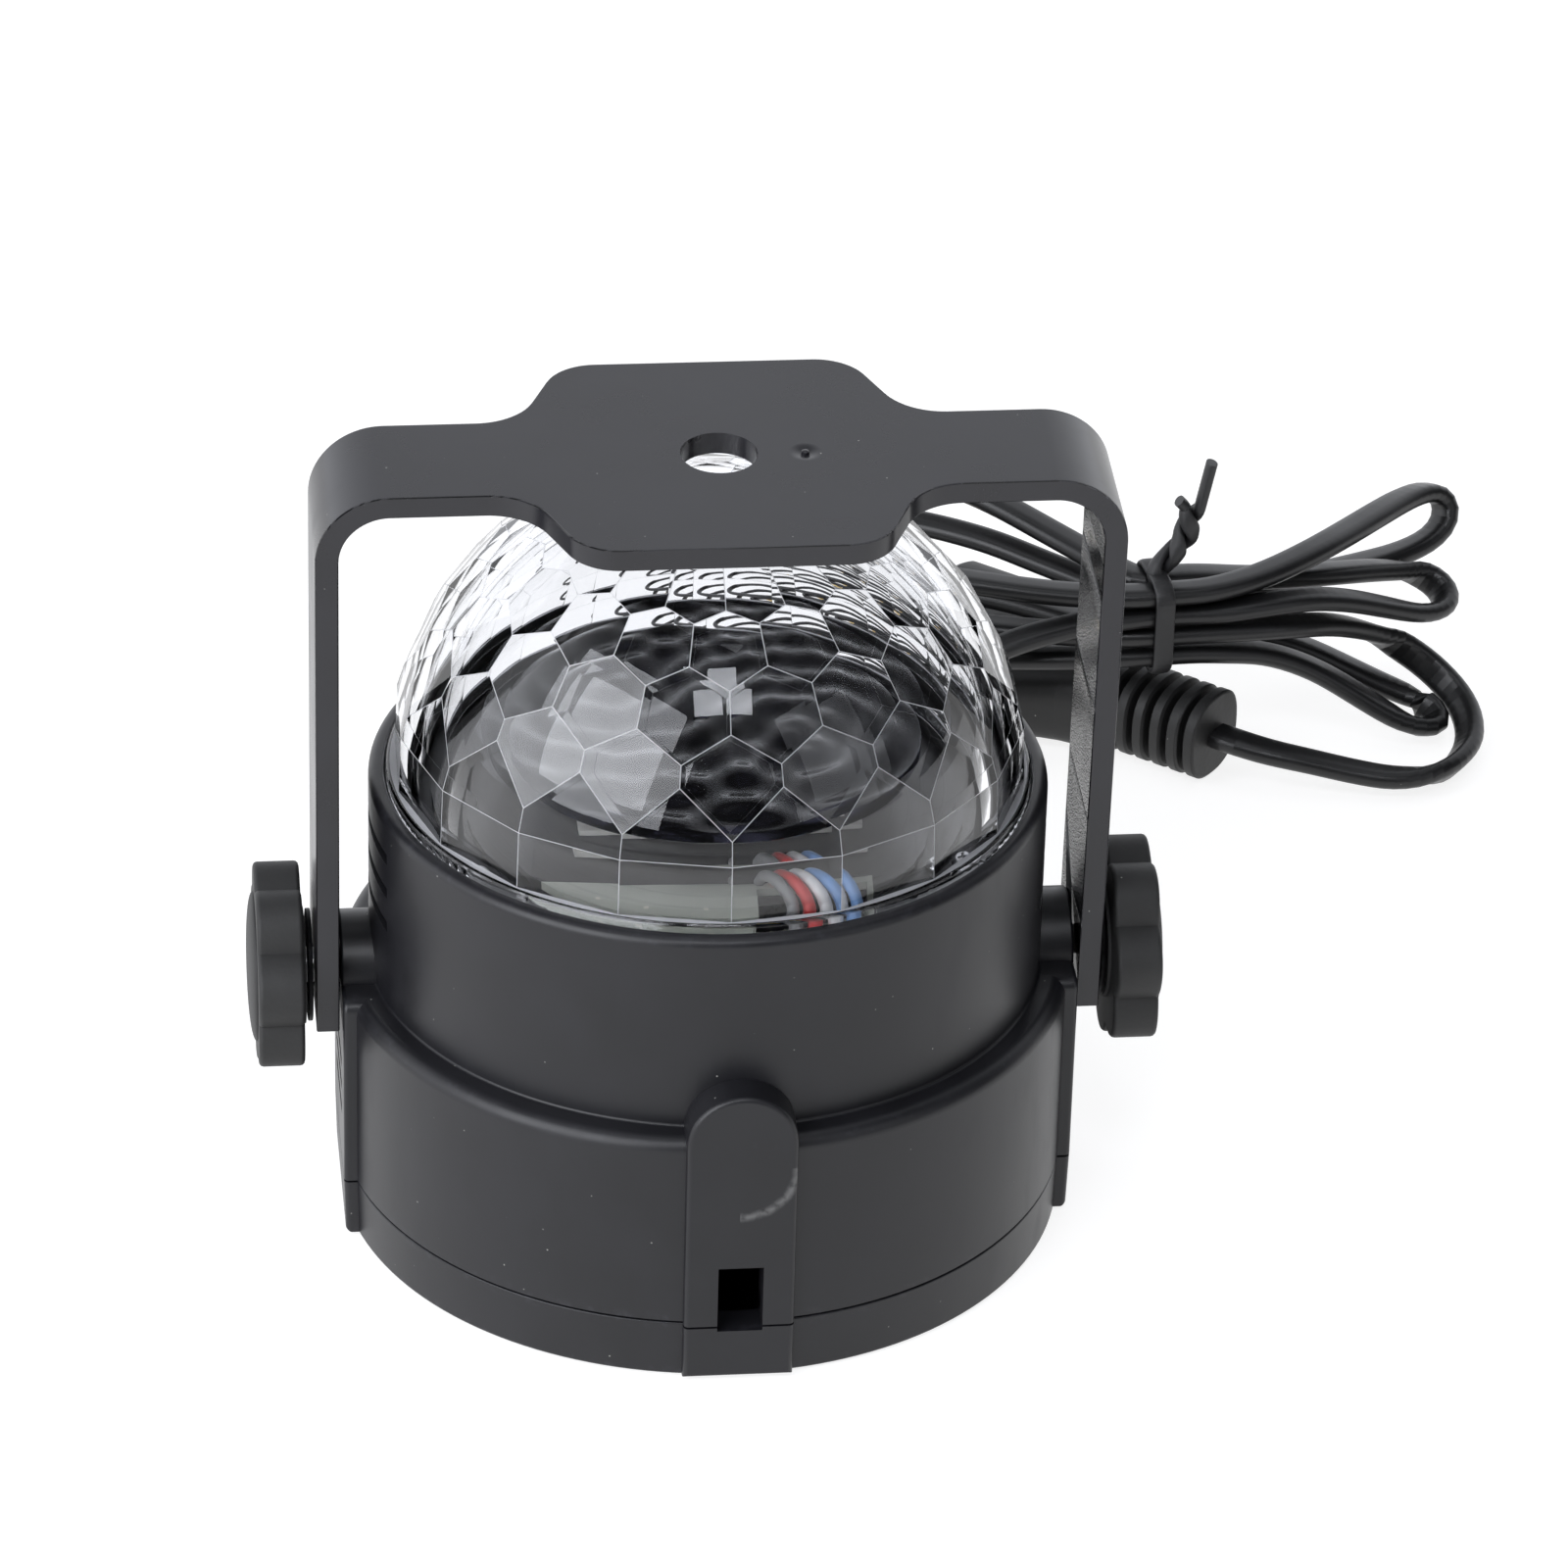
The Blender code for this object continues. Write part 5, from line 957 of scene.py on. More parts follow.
ROUTE_MM = (
    (0, 64, 13.5), (0, 67.8, 13.5), (0, 71.3, 11.5), (-0, 75.7, 8.5), (0, 79.6, 5.9), (0.2, 83.5, 4.1),
    (0.8, 86.7, 3), (1.9, 89.8, 2.5), (3.4, 92.6, 2.2), (5.5, 95, 2.1), (7.9, 96.8, 2.2),
    (11.7, 96.8, 2.2), (15.8, 96.8, 2.2), (20.3, 96.7, 4.6), (26.6, 96.7, 8.3), (32.7, 96.9, 12.5),
    (38.7, 97.5, 16.3), (44.5, 98.5, 19.7), (50.2, 99.8, 22.5), (55.6, 101.3, 24.5),
    (61.1, 103.1, 25.6), (66.9, 104.8, 26.3), (73.8, 106.1, 26.5), (79.3, 106.8, 26.5),
    (85.3, 107.1, 26.2), (90.3, 107.7, 26.3), (95.7, 109, 25.8), (100.2, 110.7, 24.7),
    (106.1, 113.3, 22.1), (111.9, 115.9, 19.1), (117.1, 118.3, 16.6), (119.8, 119.9, 15.6),
    (121.8, 121.6, 15.2), (122.9, 124.3, 15.4), (122.3, 126.9, 16.2), (121.3, 127.9, 16.8),
    (119.8, 128.3, 17.5), (117.2, 127.8, 18.5), (112.1, 125.2, 20.2), (105.9, 121.6, 22.2),
    (99.7, 118.3, 24.3), (93.9, 115.6, 26.5), (89.2, 114.1, 28.2), (83.7, 113, 29.9),
    (78.8, 111.9, 30.8), (76.9, 111.1, 30.9), (74.6, 111.1, 30.9), (71.7, 113.9, 30.9),
    (67, 119.8, 30.9), (62.1, 125.1, 30.9), (56.8, 130.3, 31), (51.6, 134.8, 30.9),
    (45.8, 139.2, 30.6), (40.1, 142.9, 30.1), (34.9, 145.6, 29.5), (29.3, 147.7, 28.4),
    (23.5, 149.2, 27), (18.4, 149.7, 25.6), (14.4, 149.5, 24.5), (11.5, 148.6, 23.7),
    (9.3, 147.1, 23.1), (7, 144.1, 22.4), (5.3, 140.1, 21.9), (4.6, 136.9, 21.7), (4.8, 134, 21.8),
    (6, 130.9, 22.1), (8.8, 127, 22.9), (12.9, 123, 24.1), (17.9, 119.3, 25.5), (23.2, 116.2, 26.9),
    (29.1, 113.7, 28.2), (35.7, 111.5, 29.6), (42.1, 109.8, 30.5), (48.6, 108.5, 30.8),
    (56.1, 107.4, 30.9), (63.6, 106.7, 30.9), (71.3, 106.3, 30.9), (76.1, 106.4, 30.9),
    (78.4, 106.8, 30.9), (82.9, 107.2, 30.8), (87.9, 108.8, 30.7), (92.8, 111.4, 30.3),
    (98, 115.1, 29.7), (102.8, 119.3, 28.9), (107.9, 124.7, 27.8), (112.7, 129.9, 27.1),
    (117.3, 134.9, 26.6), (121, 138.2, 26.1), (122.5, 139.2, 25.7), (124.6, 139.8, 24.4),
    (125.4, 139.2, 22.6), (124, 137.3, 20.1), (121.1, 135.4, 18.9), (116.6, 132.9, 18.4),
    (110.9, 129.7, 18.8), (104.7, 125.9, 19.7), (98.6, 122.1, 21), (92.3, 118.2, 22.7),
    (86.4, 114.8, 24.5), (81.9, 112.8, 25.7), (78.3, 111.9, 26.4), (76.3, 110.9, 26.6),
    (74.8, 111.1, 26.5), (71.8, 113.1, 26.5), (66.5, 118, 26.5), (60.7, 122.6, 26.5),
    (55, 126.8, 26.6), (49, 130.4, 26.4), (42.9, 133.6, 26.1), (37.6, 135.8, 25.5),
    (32.2, 137.3, 24.4), (26.6, 138.2, 22.7), (21.8, 138.3, 21), (18.2, 137.8, 19.5),
    (15.8, 136.7, 18.2), (14, 134.9, 16.9), (12.4, 131.8, 15.3), (11.6, 128.5, 13.9),
    (11.7, 126.1, 13.2), (12.5, 123.7, 12.8), (14.7, 120.8, 12.8), (18.5, 117.5, 13.2),
    (23.6, 114.3, 14.1), (29.2, 111.7, 15.1), (35.2, 109.7, 16.2), (42, 108.1, 17.2),
    (48.3, 107, 17.7), (55.3, 106.4, 17.8), (62.8, 106, 17.7), (70.4, 106.1, 17.7),
    (76.2, 106.4, 17.7), (81.4, 107.2, 17.5), (87.1, 108.2, 16.7), (92.5, 109.6, 15.5),
    (97.3, 110.4, 13.6), (101.9, 110.7, 11.2), (107.1, 110, 8), (112.2, 108.6, 5), (115.2, 107.8, 3.5),
    (117, 107.5, 2.9), (118.6, 107.9, 2.6), (119.7, 110.1, 3), (118.6, 113, 3.8), (117, 114.1, 4.5),
    (112.4, 115.2, 6.2), (106.9, 116.4, 8.7), (102, 116.9, 11.2), (97.4, 116.5, 13.4),
    (92.3, 115.3, 15.5), (86.9, 113.5, 16.8), (82.5, 112.3, 17.5), (78.4, 111.8, 17.7),
    (76.9, 111.4, 17.7), (73.9, 111.4, 17.7), (69.1, 115.1, 17.7), (63.5, 119.3, 17.7),
    (57.6, 123.3, 17.7), (51.2, 126.8, 17.6), (45.2, 129.6, 17.5), (39.7, 131.4, 17.1),
    (33.9, 132.7, 16.4), (29.3, 133, 15.8), (26.7, 132.6, 15.5), (25.1, 131.9, 15.4),
    (23.8, 130.6, 15.5), (22.7, 128.3, 15.9), (22.4, 126.1, 16.3), (22.8, 124.1, 16.8),
    (24.6, 121.6, 17.7), (28.4, 118.3, 19), (33.5, 115.3, 20.3), (38.8, 112.9, 21.3),
    (45.1, 110.8, 21.8), (52, 109, 22.1), (59, 107.8, 22.1), (66.6, 106.8, 22.1), (73.7, 106.3, 22.1),
    (77.2, 106.5, 22.1), (83.2, 107, 22), (90, 107.7, 21.6), (94.7, 108.5, 21.1), (98.3, 109.8, 20.2),
    (103.1, 112.8, 18.2), (108.1, 116, 15.5), (111.8, 118.1, 13.1), (114.5, 118.8, 11.3),
    (117.3, 118.7, 9.3), (119.7, 117.8, 7.6), (121.7, 116.1, 6.1), (123.2, 113.8, 4.9),
    (124, 110.7, 4.1), (124.1, 107, 3.4), (123.3, 103.2, 3), (121.3, 99.3, 2.7), (119.3, 96.6, 2.6),
    (117.1, 95, 2.6), (113.6, 94, 2.7), (110, 93.7, 2.9), (104.2, 94.7, 3.7), (97.5, 95.8, 5.1),
    (92.4, 96.6, 6.1), (88.1, 98.4, 6.8), (85.2, 100.8, 6.8),
)


@dataclass
class MainsCord:
    """The flat two-core cord in its tied hank, with the gland, the plug and the tie."""

    width: float = 0.0048
    thickness: float = 0.0029
    sides: int = 20
    step: float = 0.0016
    waist: Sequence[float] = (0.0763, 0.1090, 0.01767)
    waist_turn: float = math.radians(8)
    squeeze: float = 0.74
    squeeze_near: float = 0.006
    squeeze_far: float = 0.045
    layer: float = 0.0044
    tie_half: float = 0.00145
    tie_pitch: float = 0.0085
    route_mm: Sequence[tuple] = ROUTE_MM

    def build(self) -> None:
        points = self.path()
        cord = Shape.swept(self.section(), self.frames(points)).finished(
            "mains_cord", VINYL, "casing", ("cord_stretch", "cord_hank")
        )
        length = sum((b - a).length for a, b in zip(points, points[1:]))
        LOG.info("cord length %.3f m", length)
        tie = self.tie()
        gland = self.gland()
        plug = MainsPlug().build()

    def path(self) -> list[Vector]:
        """The cord's middle line: the route, drawn together at the tie and resampled."""
        line = splined([self.drawn_in(Vector(point) * MM) for point in self.route_mm], self.step)
        reach = 2
        weights = np.hanning(2 * reach + 3)[1:-1]
        table = np.array([tuple(point) for point in line])
        padded = np.concatenate([table[:1].repeat(reach, 0), table, table[-1:].repeat(reach, 0)])
        even = sum(w * padded[i : i + len(table)] for i, w in enumerate(weights)) / weights.sum()
        return line[:3] + [Vector(point) for point in even[3:-3]] + line[-3:]

    def drawn_in(self, point: Vector) -> Vector:
        """The point lowered towards the bundle's foot where it is near the tie."""
        away = (point.xy - Vector(self.waist[:2])).length
        share = eased((away - self.squeeze_near) / (self.squeeze_far - self.squeeze_near))
        keep = self.squeeze + (1 - self.squeeze) * share
        if point.z > self.waist[2]:
            point.z = self.waist[2] + (point.z - self.waist[2]) * keep
        return point

    def section(self) -> list[Point]:
        """The flat cord's outline: two round cores side by side with a groove between."""
        radius = self.thickness / 2
        offset = self.width / 2 - radius
        points = []
        for azimuth in round_azimuths(self.sides, math.pi / self.sides):
            x, y = radius * math.cos(azimuth), radius * math.sin(azimuth)
            x += offset * math.tanh(3 * math.cos(azimuth))
            y *= 1 - 0.22 * math.exp(-((x / 0.00055) ** 2))
            points.append((x, y))
        return points

    def frames(self, points: list[Vector]) -> list[Matrix]:
        """A frame at each point: X along the cord's width, Y through its thickness.

        The thin way lies in the plane that the cord bends in, and upright where it runs
        straight, with a smooth twist between the two.

        Args:
            points: The middle line.

        Returns:
            One frame for each point.
        """
        line = np.array([tuple(p) for p in points])
        ways = np.gradient(line, axis=0)
        lengths = np.linalg.norm(ways, axis=1)
        tangents = ways / lengths[:, None]
        bends = np.gradient(tangents, axis=0) / lengths[:, None]
        sizes = np.linalg.norm(bends, axis=1)
        share = np.clip((sizes - 35) / 55, 0, 1)
        unit = bends / np.maximum(sizes, 1e-9)[:, None]
        thin = share[:, None, None] * unit[:, :, None] * unit[:, None, :]
        thin[:, 2, 2] += 1 - share
        reach = 11
        weights = np.hanning(2 * reach + 3)[1:-1]
        padded = np.concatenate([thin[:1].repeat(reach, 0), thin, thin[-1:].repeat(reach, 0)])
        smooth = sum(w * padded[i : i + len(thin)] for i, w in enumerate(weights))
        frames, last = [], None
        for place, along, spread in zip(line, tangents, smooth):
            flat = np.eye(3) - np.outer(along, along)
            values, vectors = np.linalg.eigh(flat @ spread @ flat)
            thin_way = Vector(vectors[:, -1])
            if last is not None and thin_way.dot(last) < 0:
                thin_way.negate()
            last = thin_way
            forward = Vector(along)
            frames.append(placed_frame(Vector(place), thin_way.cross(forward), thin_way, forward))
        return frames

    def tie(self) -> bpy.types.Object:
        """The flat twist tie: one turn round the bundle and two ends twisted together."""
        middle = Vector((*self.waist[:2], 0))
        along = on_circle(1, self.waist_turn)
        across = on_circle(1, self.waist_turn + QUARTER)
        half = 0.0025 + self.width / 2 + 0.0007
        low = self.waist[2] - self.thickness / 2 - 0.0009
        high = self.waist[2] + 3 * self.layer * self.squeeze + self.thickness / 2 + 0.0008
        bend = 0.0030
        outline = rounded_path(
            [(0, high, 0), (half, high, bend), (half, low, bend), (-half, low, bend),
             (-half, high, bend), (0, high, 0)], 8,
        )
        ring = [middle + across * y + UP * z for y, z in outline]
        flat = [(self.tie_half * math.copysign(abs(math.cos(a)) ** 0.6, math.cos(a)),
                 0.00055 * math.copysign(abs(math.sin(a)) ** 0.8, math.sin(a)))
                for a in round_azimuths(20)]
        band = Shape.swept(flat, upright_frames(ring, along))
        band.joined([self.tie_end(middle, high, along, across, end) for end in range(2)])
        return band.finished("cord_twist_tie", TIE, "casing", ("cord_tie",))

    def tie_end(
        self, middle: Vector, high: float, along: Vector, across: Vector, end: int
    ) -> Shape:
        """One of the tie's two ends, wound round the other and then standing free.

        Args:
            middle: The bundle's middle in plan.
            high: The top of the band.
            along: The way along the bundle.
            across: The way across it.
            end: Which end it is: the first stands up straight, the second stops short.

        Returns:
            The end's shape.
        """
        steps = 60
        tall = 0.0182 if end == 0 else 0.0122
        wound = 0.0108
        points, wides = [], []
        for i in range(steps + 1):
            height = tall * i / steps
            angle = math.pi * end + math.tau * min(height, wound) / self.tie_pitch
            apart = 0.00105 + 0.0016 * end * eased((height - wound) / 0.002)
            bowed = 0.0042 * eased(height / 0.007)
            lean = along * (bowed + 0.0022 * max(height - 0.007, 0) / 0.011)
            side = (across * math.cos(angle) + along * math.sin(angle)) * apart
            points.append(middle + lean + side + UP * (high - 0.0008 + height))
            wides.append(along * math.cos(angle) - across * math.sin(angle))
        section = [(0.00125 * math.cos(a), 0.00085 * math.sin(a)) for a in round_azimuths(16)]
        return Shape.swept(section, upright_frames(points, wides)).bevelled(0.0002, 2, 60)

    def gland(self) -> bpy.types.Object:
        """The rubber bush in the back wall with its ribbed, tapering tail."""
        start, length, ribs = 0.0507, 0.0194, 6
        bore = [
            (0, 0.0440, 0), (0.0056, 0.0440, 0.0005), (0.0056, 0.04515, 0), (0.0039, 0.04515, 0),
            (0.0039, 0.0492, 0), (0.0056, 0.0492, 0.0003), (0.0056, start, 0.0005),
        ]
        for i in range(ribs):
            radius = 0.0046 - 0.0014 * i / (ribs - 1)
            first, last = start + length * i / ribs, start + length * (i + 0.66) / ribs
            bore += [(radius, first, 0.0003), (radius, last, 0.0003)]
            if i < ribs - 1:
                following = start + length * (i + 1) / ribs
                bore += [(radius - 0.0008, last, 0.0001), (radius - 0.0008, following, 0.0001)]
        bore += [(0.0029, start + length, 0.0003), (0, start + length, 0)]
        shape = Shape.spun(rounded_path(bore, 3), 48).turned(-QUARTER, "X").moved((0, 0, GLAND_HEIGHT))
        for vert in shape.bm.verts:
            past = max(vert.co.y - 0.0610, 0)
            vert.co.z -= 30 * past * past
        return shape.finished("ribbed_cord_gland", RUBBER, "casing", ("cord_gland",))


@dataclass
class MainsPlug:
    """The flat moulded plug with its ribbed relief and two round pins."""

    cord_end: Sequence[float] = (0.0850, 0.1010, 0.0068)
    heading: float = math.radians(140)
    half_height: float = 0.0066
    half_width: float = 0.0176
    rib_count: int = 6
    rib_pitch: float = 0.0029
    taper: float = 0.0220
    straight: float = 0.0140
    pin_radius: float = 0.0020
    pin_length: float = 0.0190
    pin_spacing: float = 0.0186

    def build(self) -> list[bpy.types.Object]:
        """Makes the body and both pins.

        Returns:
            The three pieces.
        """
        along = on_circle(1, self.heading)
        across = UP.cross(along)
        turn = Matrix((across, UP, along)).transposed().to_4x4()
        place = Matrix.Translation(self.cord_end) @ turn
        stations = self.relief() + self.body()
        ring = round_azimuths(48, math.pi / 48)
        first = stations[0]
        section = [self.squared(azimuth, *first[1:]) for azimuth in ring]
        shape = Shape()
        verts = [shape.bm.verts.new((x, y, first[0])) for x, y in section]
        end = shape.bm.faces.new(verts)
        for i, (station, *size) in enumerate(stations[1:]):
            end = shape.drawn_out(end, i == 0)
            for loop, azimuth in zip(end.loops, self.matched(end, ring)):
                x, y = self.squared(azimuth, *size)
                loop.vert.co = (x, y, station)
        shape.cleaned().placed(place)
        body_end = self.rib_count * self.rib_pitch + self.taper + self.straight
        pins, sockets = [], []
        for side, name in ((-1, "near"), (1, "far")):
            pins.append(self.pin(body_end, side * self.pin_spacing / 2, name, place))
            socket = Shape.disc(self.pin_radius + 0.0003, body_end - 0.004, body_end + 0.002, 32)
            sockets.append(socket.moved((side * self.pin_spacing / 2, 0, 0)).placed(place))
        shape = shape.combined([], sockets)
        body = shape.finished("moulded_plug", PLUG_VINYL, "casing", ("plug_body",))
        return [body, *pins]

    def matched(self, face: bmesh.types.BMFace, ring: list[float]) -> list[float]:
        """The azimuth that each corner of the face has in its section."""
        angles = [math.atan2(loop.vert.co.y, loop.vert.co.x) % math.tau for loop in face.loops]
        order = sorted(range(len(angles)), key=angles.__getitem__)
        return [ring[order.index(i)] for i in range(len(angles))]

    def squared(self, azimuth: float, half_x: float, half_y: float, power: float) -> Point:
        """A point of a rounded rectangle, rounder the nearer its power is to two."""
        c, s = math.cos(azimuth), math.sin(azimuth)
        x = math.copysign(abs(c) ** (2 / power), c) * half_x
        y = math.copysign(abs(s) ** (2 / power), s) * half_y
        return x, y

    def relief(self) -> list[tuple]:
        """The ribs of the strain relief: station, half sizes and roundness."""
        stations = []
        for i in range(self.rib_count):
            start = i * self.rib_pitch
            tall, low = 0.0065, 0.0046
            end = start + self.rib_pitch * 0.66
            stations += [
                (start, tall - 0.0005, tall - 0.0005, 2.5),
                (start + 0.0003, tall, tall, 2.5),
                (end - 0.0003, tall, tall, 2.5),
                (end, tall - 0.0005, tall - 0.0005, 2.5),
                (end + 0.0001, low, low, 2.3),
                (start + self.rib_pitch - 0.0001, low, low, 2.3),
            ]
        return stations

    def body(self) -> list[tuple]:
        """The plug's widening body and straight end: station, half sizes and roundness."""
        start = self.rib_count * self.rib_pitch
        end = start + self.taper + self.straight
        high = self.half_height
        stations = [(start, 0.0070, high - 0.0012, 2.8), (start + 0.0008, 0.0080, high - 0.0004, 3.0)]
        for i in range(1, 9):
            share = i / 9
            wide = 0.0080 + (self.half_width - 0.0080) * eased(share)
            dip = 0.0006 * math.sin(math.pi * share)
            stations.append((start + self.taper * share, wide, high - dip, 3.4))
        stations += [
            (start + self.taper, self.half_width, high, 3.8),
            (end - 0.0012, self.half_width, high, 3.8),
            (end - 0.0004, self.half_width - 0.0004, high - 0.0004, 3.8),
            (end, self.half_width - 0.0011, high - 0.0011, 3.8),
        ]
        return stations

    def pin(self, body_end: float, offset: float, name: str, place: Matrix) -> bpy.types.Object:
        """One round pin with its insulated root.

        Args:
            body_end: How far along the plug its face is.
            offset: The pin's place across the plug.
            name: Which pin it is.
            place: The plug's frame.

        Returns:
            The pin.
        """
        tip = body_end + self.pin_length
        radius = self.pin_radius
        corners = [
            (0, body_end - 0.0037, 0), (radius, body_end - 0.0037, 0.0002),
            (radius, body_end + 0.0001, 0), (radius, tip, radius * 0.75), (0, tip, 0),
        ]
        shape = Shape.spun(rounded_path(corners, 6), 32).moved((offset, 0, 0)).placed(place)
        return shape.finished(f"brass_pin_{name}", BRASS, "casing", (f"plug_pin_{name}",))


# Casing


@dataclass
class Casing:
    """The moulded shell with its pads, bosses and vents, and the cover under it."""

    band: float = 0.0479
    neck: float = 0.0441
    base: float = 0.0477
    foot: float = 0.0003
    seam: float = 0.0087
    ledge: float = 0.0359
    rim: float = 0.0634
    wall: float = 0.0020
    ledge_round: float = 0.0020
    pad_half: float = 0.0071
    pad_shift: float = 0.0004
    pad_face: float = 0.0489
    side_half: float = 0.0120
    side_face: float = 0.0481
    pad_round: float = 0.0007
    side_round: float = 0.0006
    boss: float = 0.0072
    vents: Sequence[tuple] = ((0.0468, 0.0050, 0.0240, 0.0441), (0.0157, 0.0036, 0.0130, 0.0479))
    vent_count: int = 3
    vent_height: float = 0.0015
    steps: int = 160

    def build(self) -> None:
        """Makes the shell and the cover."""
        shell = self.shell().combined(self.shell_joins(), self.shell_cuts())
        shell.finished("moulded_casing", CASING, "casing", ("upper_casing",))
        cover = self.cover().combined(self.cover_joins(), self.cover_cuts())
        cover.finished("moulded_base_cover", CASING, "casing", ("base_cover",))

    def shell(self) -> Shape:
        """The turned wall: band, ledge, neck and rim, with the recess for the dome."""
        shelf = self.rim - 0.0025
        recess, inner = 0.0421, self.neck - self.wall
        corners = [
            (self.band, self.seam, 0), (self.band, self.ledge, self.ledge_round),
            (self.neck, self.ledge, 0.0004), (self.neck, self.rim, 0.0013),
            (recess, self.rim, 0.0003), (recess, shelf, 0),
            (inner - 0.0031, shelf, 0), (inner - 0.0031, shelf - 0.0018, 0),
            (inner, shelf - 0.0018, 0), (inner, self.ledge - self.wall, 0),
            (self.band - self.wall, self.ledge - self.wall, 0.0010),
            (self.band - self.wall, self.seam, 0),
        ]
        return Shape.spun(rounded_path(corners, 6), self.steps)

    def shell_joins(self) -> list[Shape]:
        """The pads and bosses outside, and the screw posts inside."""
        shapes = [self.end_pad(End.FRONT), self.end_pad(End.BACK)]
        for side in Side:
            shapes.append(self.side_pad(side))
            boss = rounded_path([(0, 0.0383, 0), (self.boss, 0.0383, 0.0003),
                                 (self.boss, self.side_face, 0.0004), (0, self.side_face, 0)], 3)
            shapes.append(Shape.spun(boss, 80).sideways(side))
        for place in base_screw_places():
            shapes.append(Shape.disc(0.0034, 0.0113, self.ledge - self.wall + 0.0005, 32).moved(place))
        for place, azimuth in zip(carrier_screw_places(), round_azimuths(3, QUARTER)):
            shapes.append(Shape.disc(0.0028, 0.0437, 0.0557, 32).moved(place))
            rib = Shape.box((0.0369, -0.0008, 0.0442), (0.0431, 0.0008, 0.0552))
            shapes.append(rib.turned(azimuth, "Z"))
        return shapes

    def end_pad(self, end: End) -> Shape:
        """The round-topped pad on the front or the back."""
        half = self.pad_half
        arch = [(half * math.cos(a), self.ledge + half * math.sin(a)) for a in
                (math.pi * i / 24 for i in range(25))]
        outline = [(-half, self.seam), (half, self.seam)] + arch
        pad = Shape.plate(outline, self.neck - 0.0006, self.pad_face)
        edges = self.face_edges(pad, self.pad_face)
        pad.rounded(edges, self.pad_round, 4).turned(QUARTER, "X").moved((self.pad_shift, 0, 0))
        return pad.turned(0 if end is End.FRONT else math.pi, "Z")

    def face_edges(self, pad: Shape, face: float) -> list[bmesh.types.BMEdge]:
        """The edges round a pad's outer face, apart from the one at the seam."""
        return [edge for edge in pad.bm.edges
                if all(v.co.z > face - WELD for v in edge.verts)
                and not all(abs(v.co.y - self.seam) < WELD for v in edge.verts)]

    def side_pad(self, side: Side) -> Shape:
        """The flat pad on the left or the right, with softly rounded upper corners."""
        half = self.side_half
        outline = rounded_path([
            (-half, self.seam, 0), (half, self.seam, 0), (half, self.ledge, 0.0016),
            (-half, self.ledge, 0.0016), (-half, self.seam, 0),
        ], 5)[:-1]
        pad = Shape.plate(outline, self.neck - self.wall, self.side_face)
        edges = self.face_edges(pad, self.side_face)
        pad.rounded(edges, self.side_round, 3)
        return pad.turned(QUARTER, "X").turned(side.value * QUARTER, "Z")

    def shell_cuts(self) -> list[Shape]:
        """The port, the gland's hole, the vents, the insert bores and the pilot holes."""
        cuts = [Shape.box((PORT_LEFT, -0.0502, 0.0075), (PORT_RIGHT, -0.0429, 0.0175))]
        cuts.append(self.gland_hole(0.0042, 0.0429, 0.0502))
        for side in Side:
            cuts.append(Shape.disc(0.0039, 0.0395, 0.0500, 48).sideways(side))
            for low, pitch, long, radius in self.vents:
                for i in range(self.vent_count):
                    z = low + i * pitch
                    inner, outer = radius - 2 * self.wall, radius + 2 * self.wall
                    slot = Shape.box((inner, -long / 2, z), (outer, long / 2, z + self.vent_height))
                    cuts.append(slot.turned(0 if side is Side.RIGHT else math.pi, "Z"))
        for place in base_screw_places():
            cuts.append(Shape.disc(0.0016, 0.0098, 0.0206, 24).moved(place))
        for place in carrier_screw_places():
            cuts.append(Shape.disc(0.0015, 0.0494, 0.0576, 24).moved(place))
        return cuts

    def gland_hole(self, radius: float, near: float, far: float) -> Shape:
        """A round hole through the back wall for the cord's gland."""
        return Shape.disc(radius, near, far, 48).turned(-QUARTER, "X").moved((0, 0, GLAND_HEIGHT))

    def cover(self) -> Shape:
        """The dish under the casing, with the tongue that enters it."""
        outer = self.band - self.wall - 0.0003
        corners = [
            (0, self.foot, 0), (self.base, self.foot, 0.0005), (self.band, self.seam - 0.0003, 0.0002),
            (outer, self.seam - 0.0003, 0), (outer, 0.0110, 0.0003), (outer - 0.0014, 0.0110, 0.0003),
            (outer - 0.0014, 0.0028, 0.0008), (0, 0.0028, 0),
        ]
        return Shape.spun(rounded_path(corners, 4), self.steps)

    def cover_joins(self) -> list[Shape]:
        """The four pads' lower ends, the screw bosses and the board's standoffs."""
        shapes = []
        kinds = ((self.pad_half, self.pad_face, self.pad_shift, (0, math.pi)),
                 (self.side_half, self.side_face, 0, (QUARTER, -QUARTER)))
        for half, face, shift, turns in kinds:
            for turn in turns:
                low, high = self.foot + 0.0003, self.seam - 0.0003
                pad = Shape.box((shift - half, -face, low), (shift + half, -0.0445, high))
                toes = [v for v in pad.bm.verts if v.co.z < 0.002 and v.co.y < -0.046]
                bmesh.ops.translate(pad.bm, vec=(0, 0.0002, 0), verts=toes)
                edges = [edge for edge in pad.bm.edges if all(v.co.y < -0.046 for v in edge.verts)
                         and not all(v.co.z > 0.005 for v in edge.verts)]
                shapes.append(pad.rounded(edges, self.pad_round, 4).turned(turn, "Z"))
        shapes += [Shape.disc(0.0042, 0.0023, 0.0105, 32).moved(place) for place in base_screw_places()]
        standoff = [(0, 0.0023), (0.0026, 0.0023), (0.0026, 0.0077), (0.0011, 0.0077),
                    (0.0011, 0.0099), (0, 0.0099)]
        for x, y in ((-1, -1), (-1, 1), (1, -1), (1, 1)):
            shapes.append(Shape.spun(standoff, 24).moved((x * 0.019, y * 0.019, 0)))
        return shapes

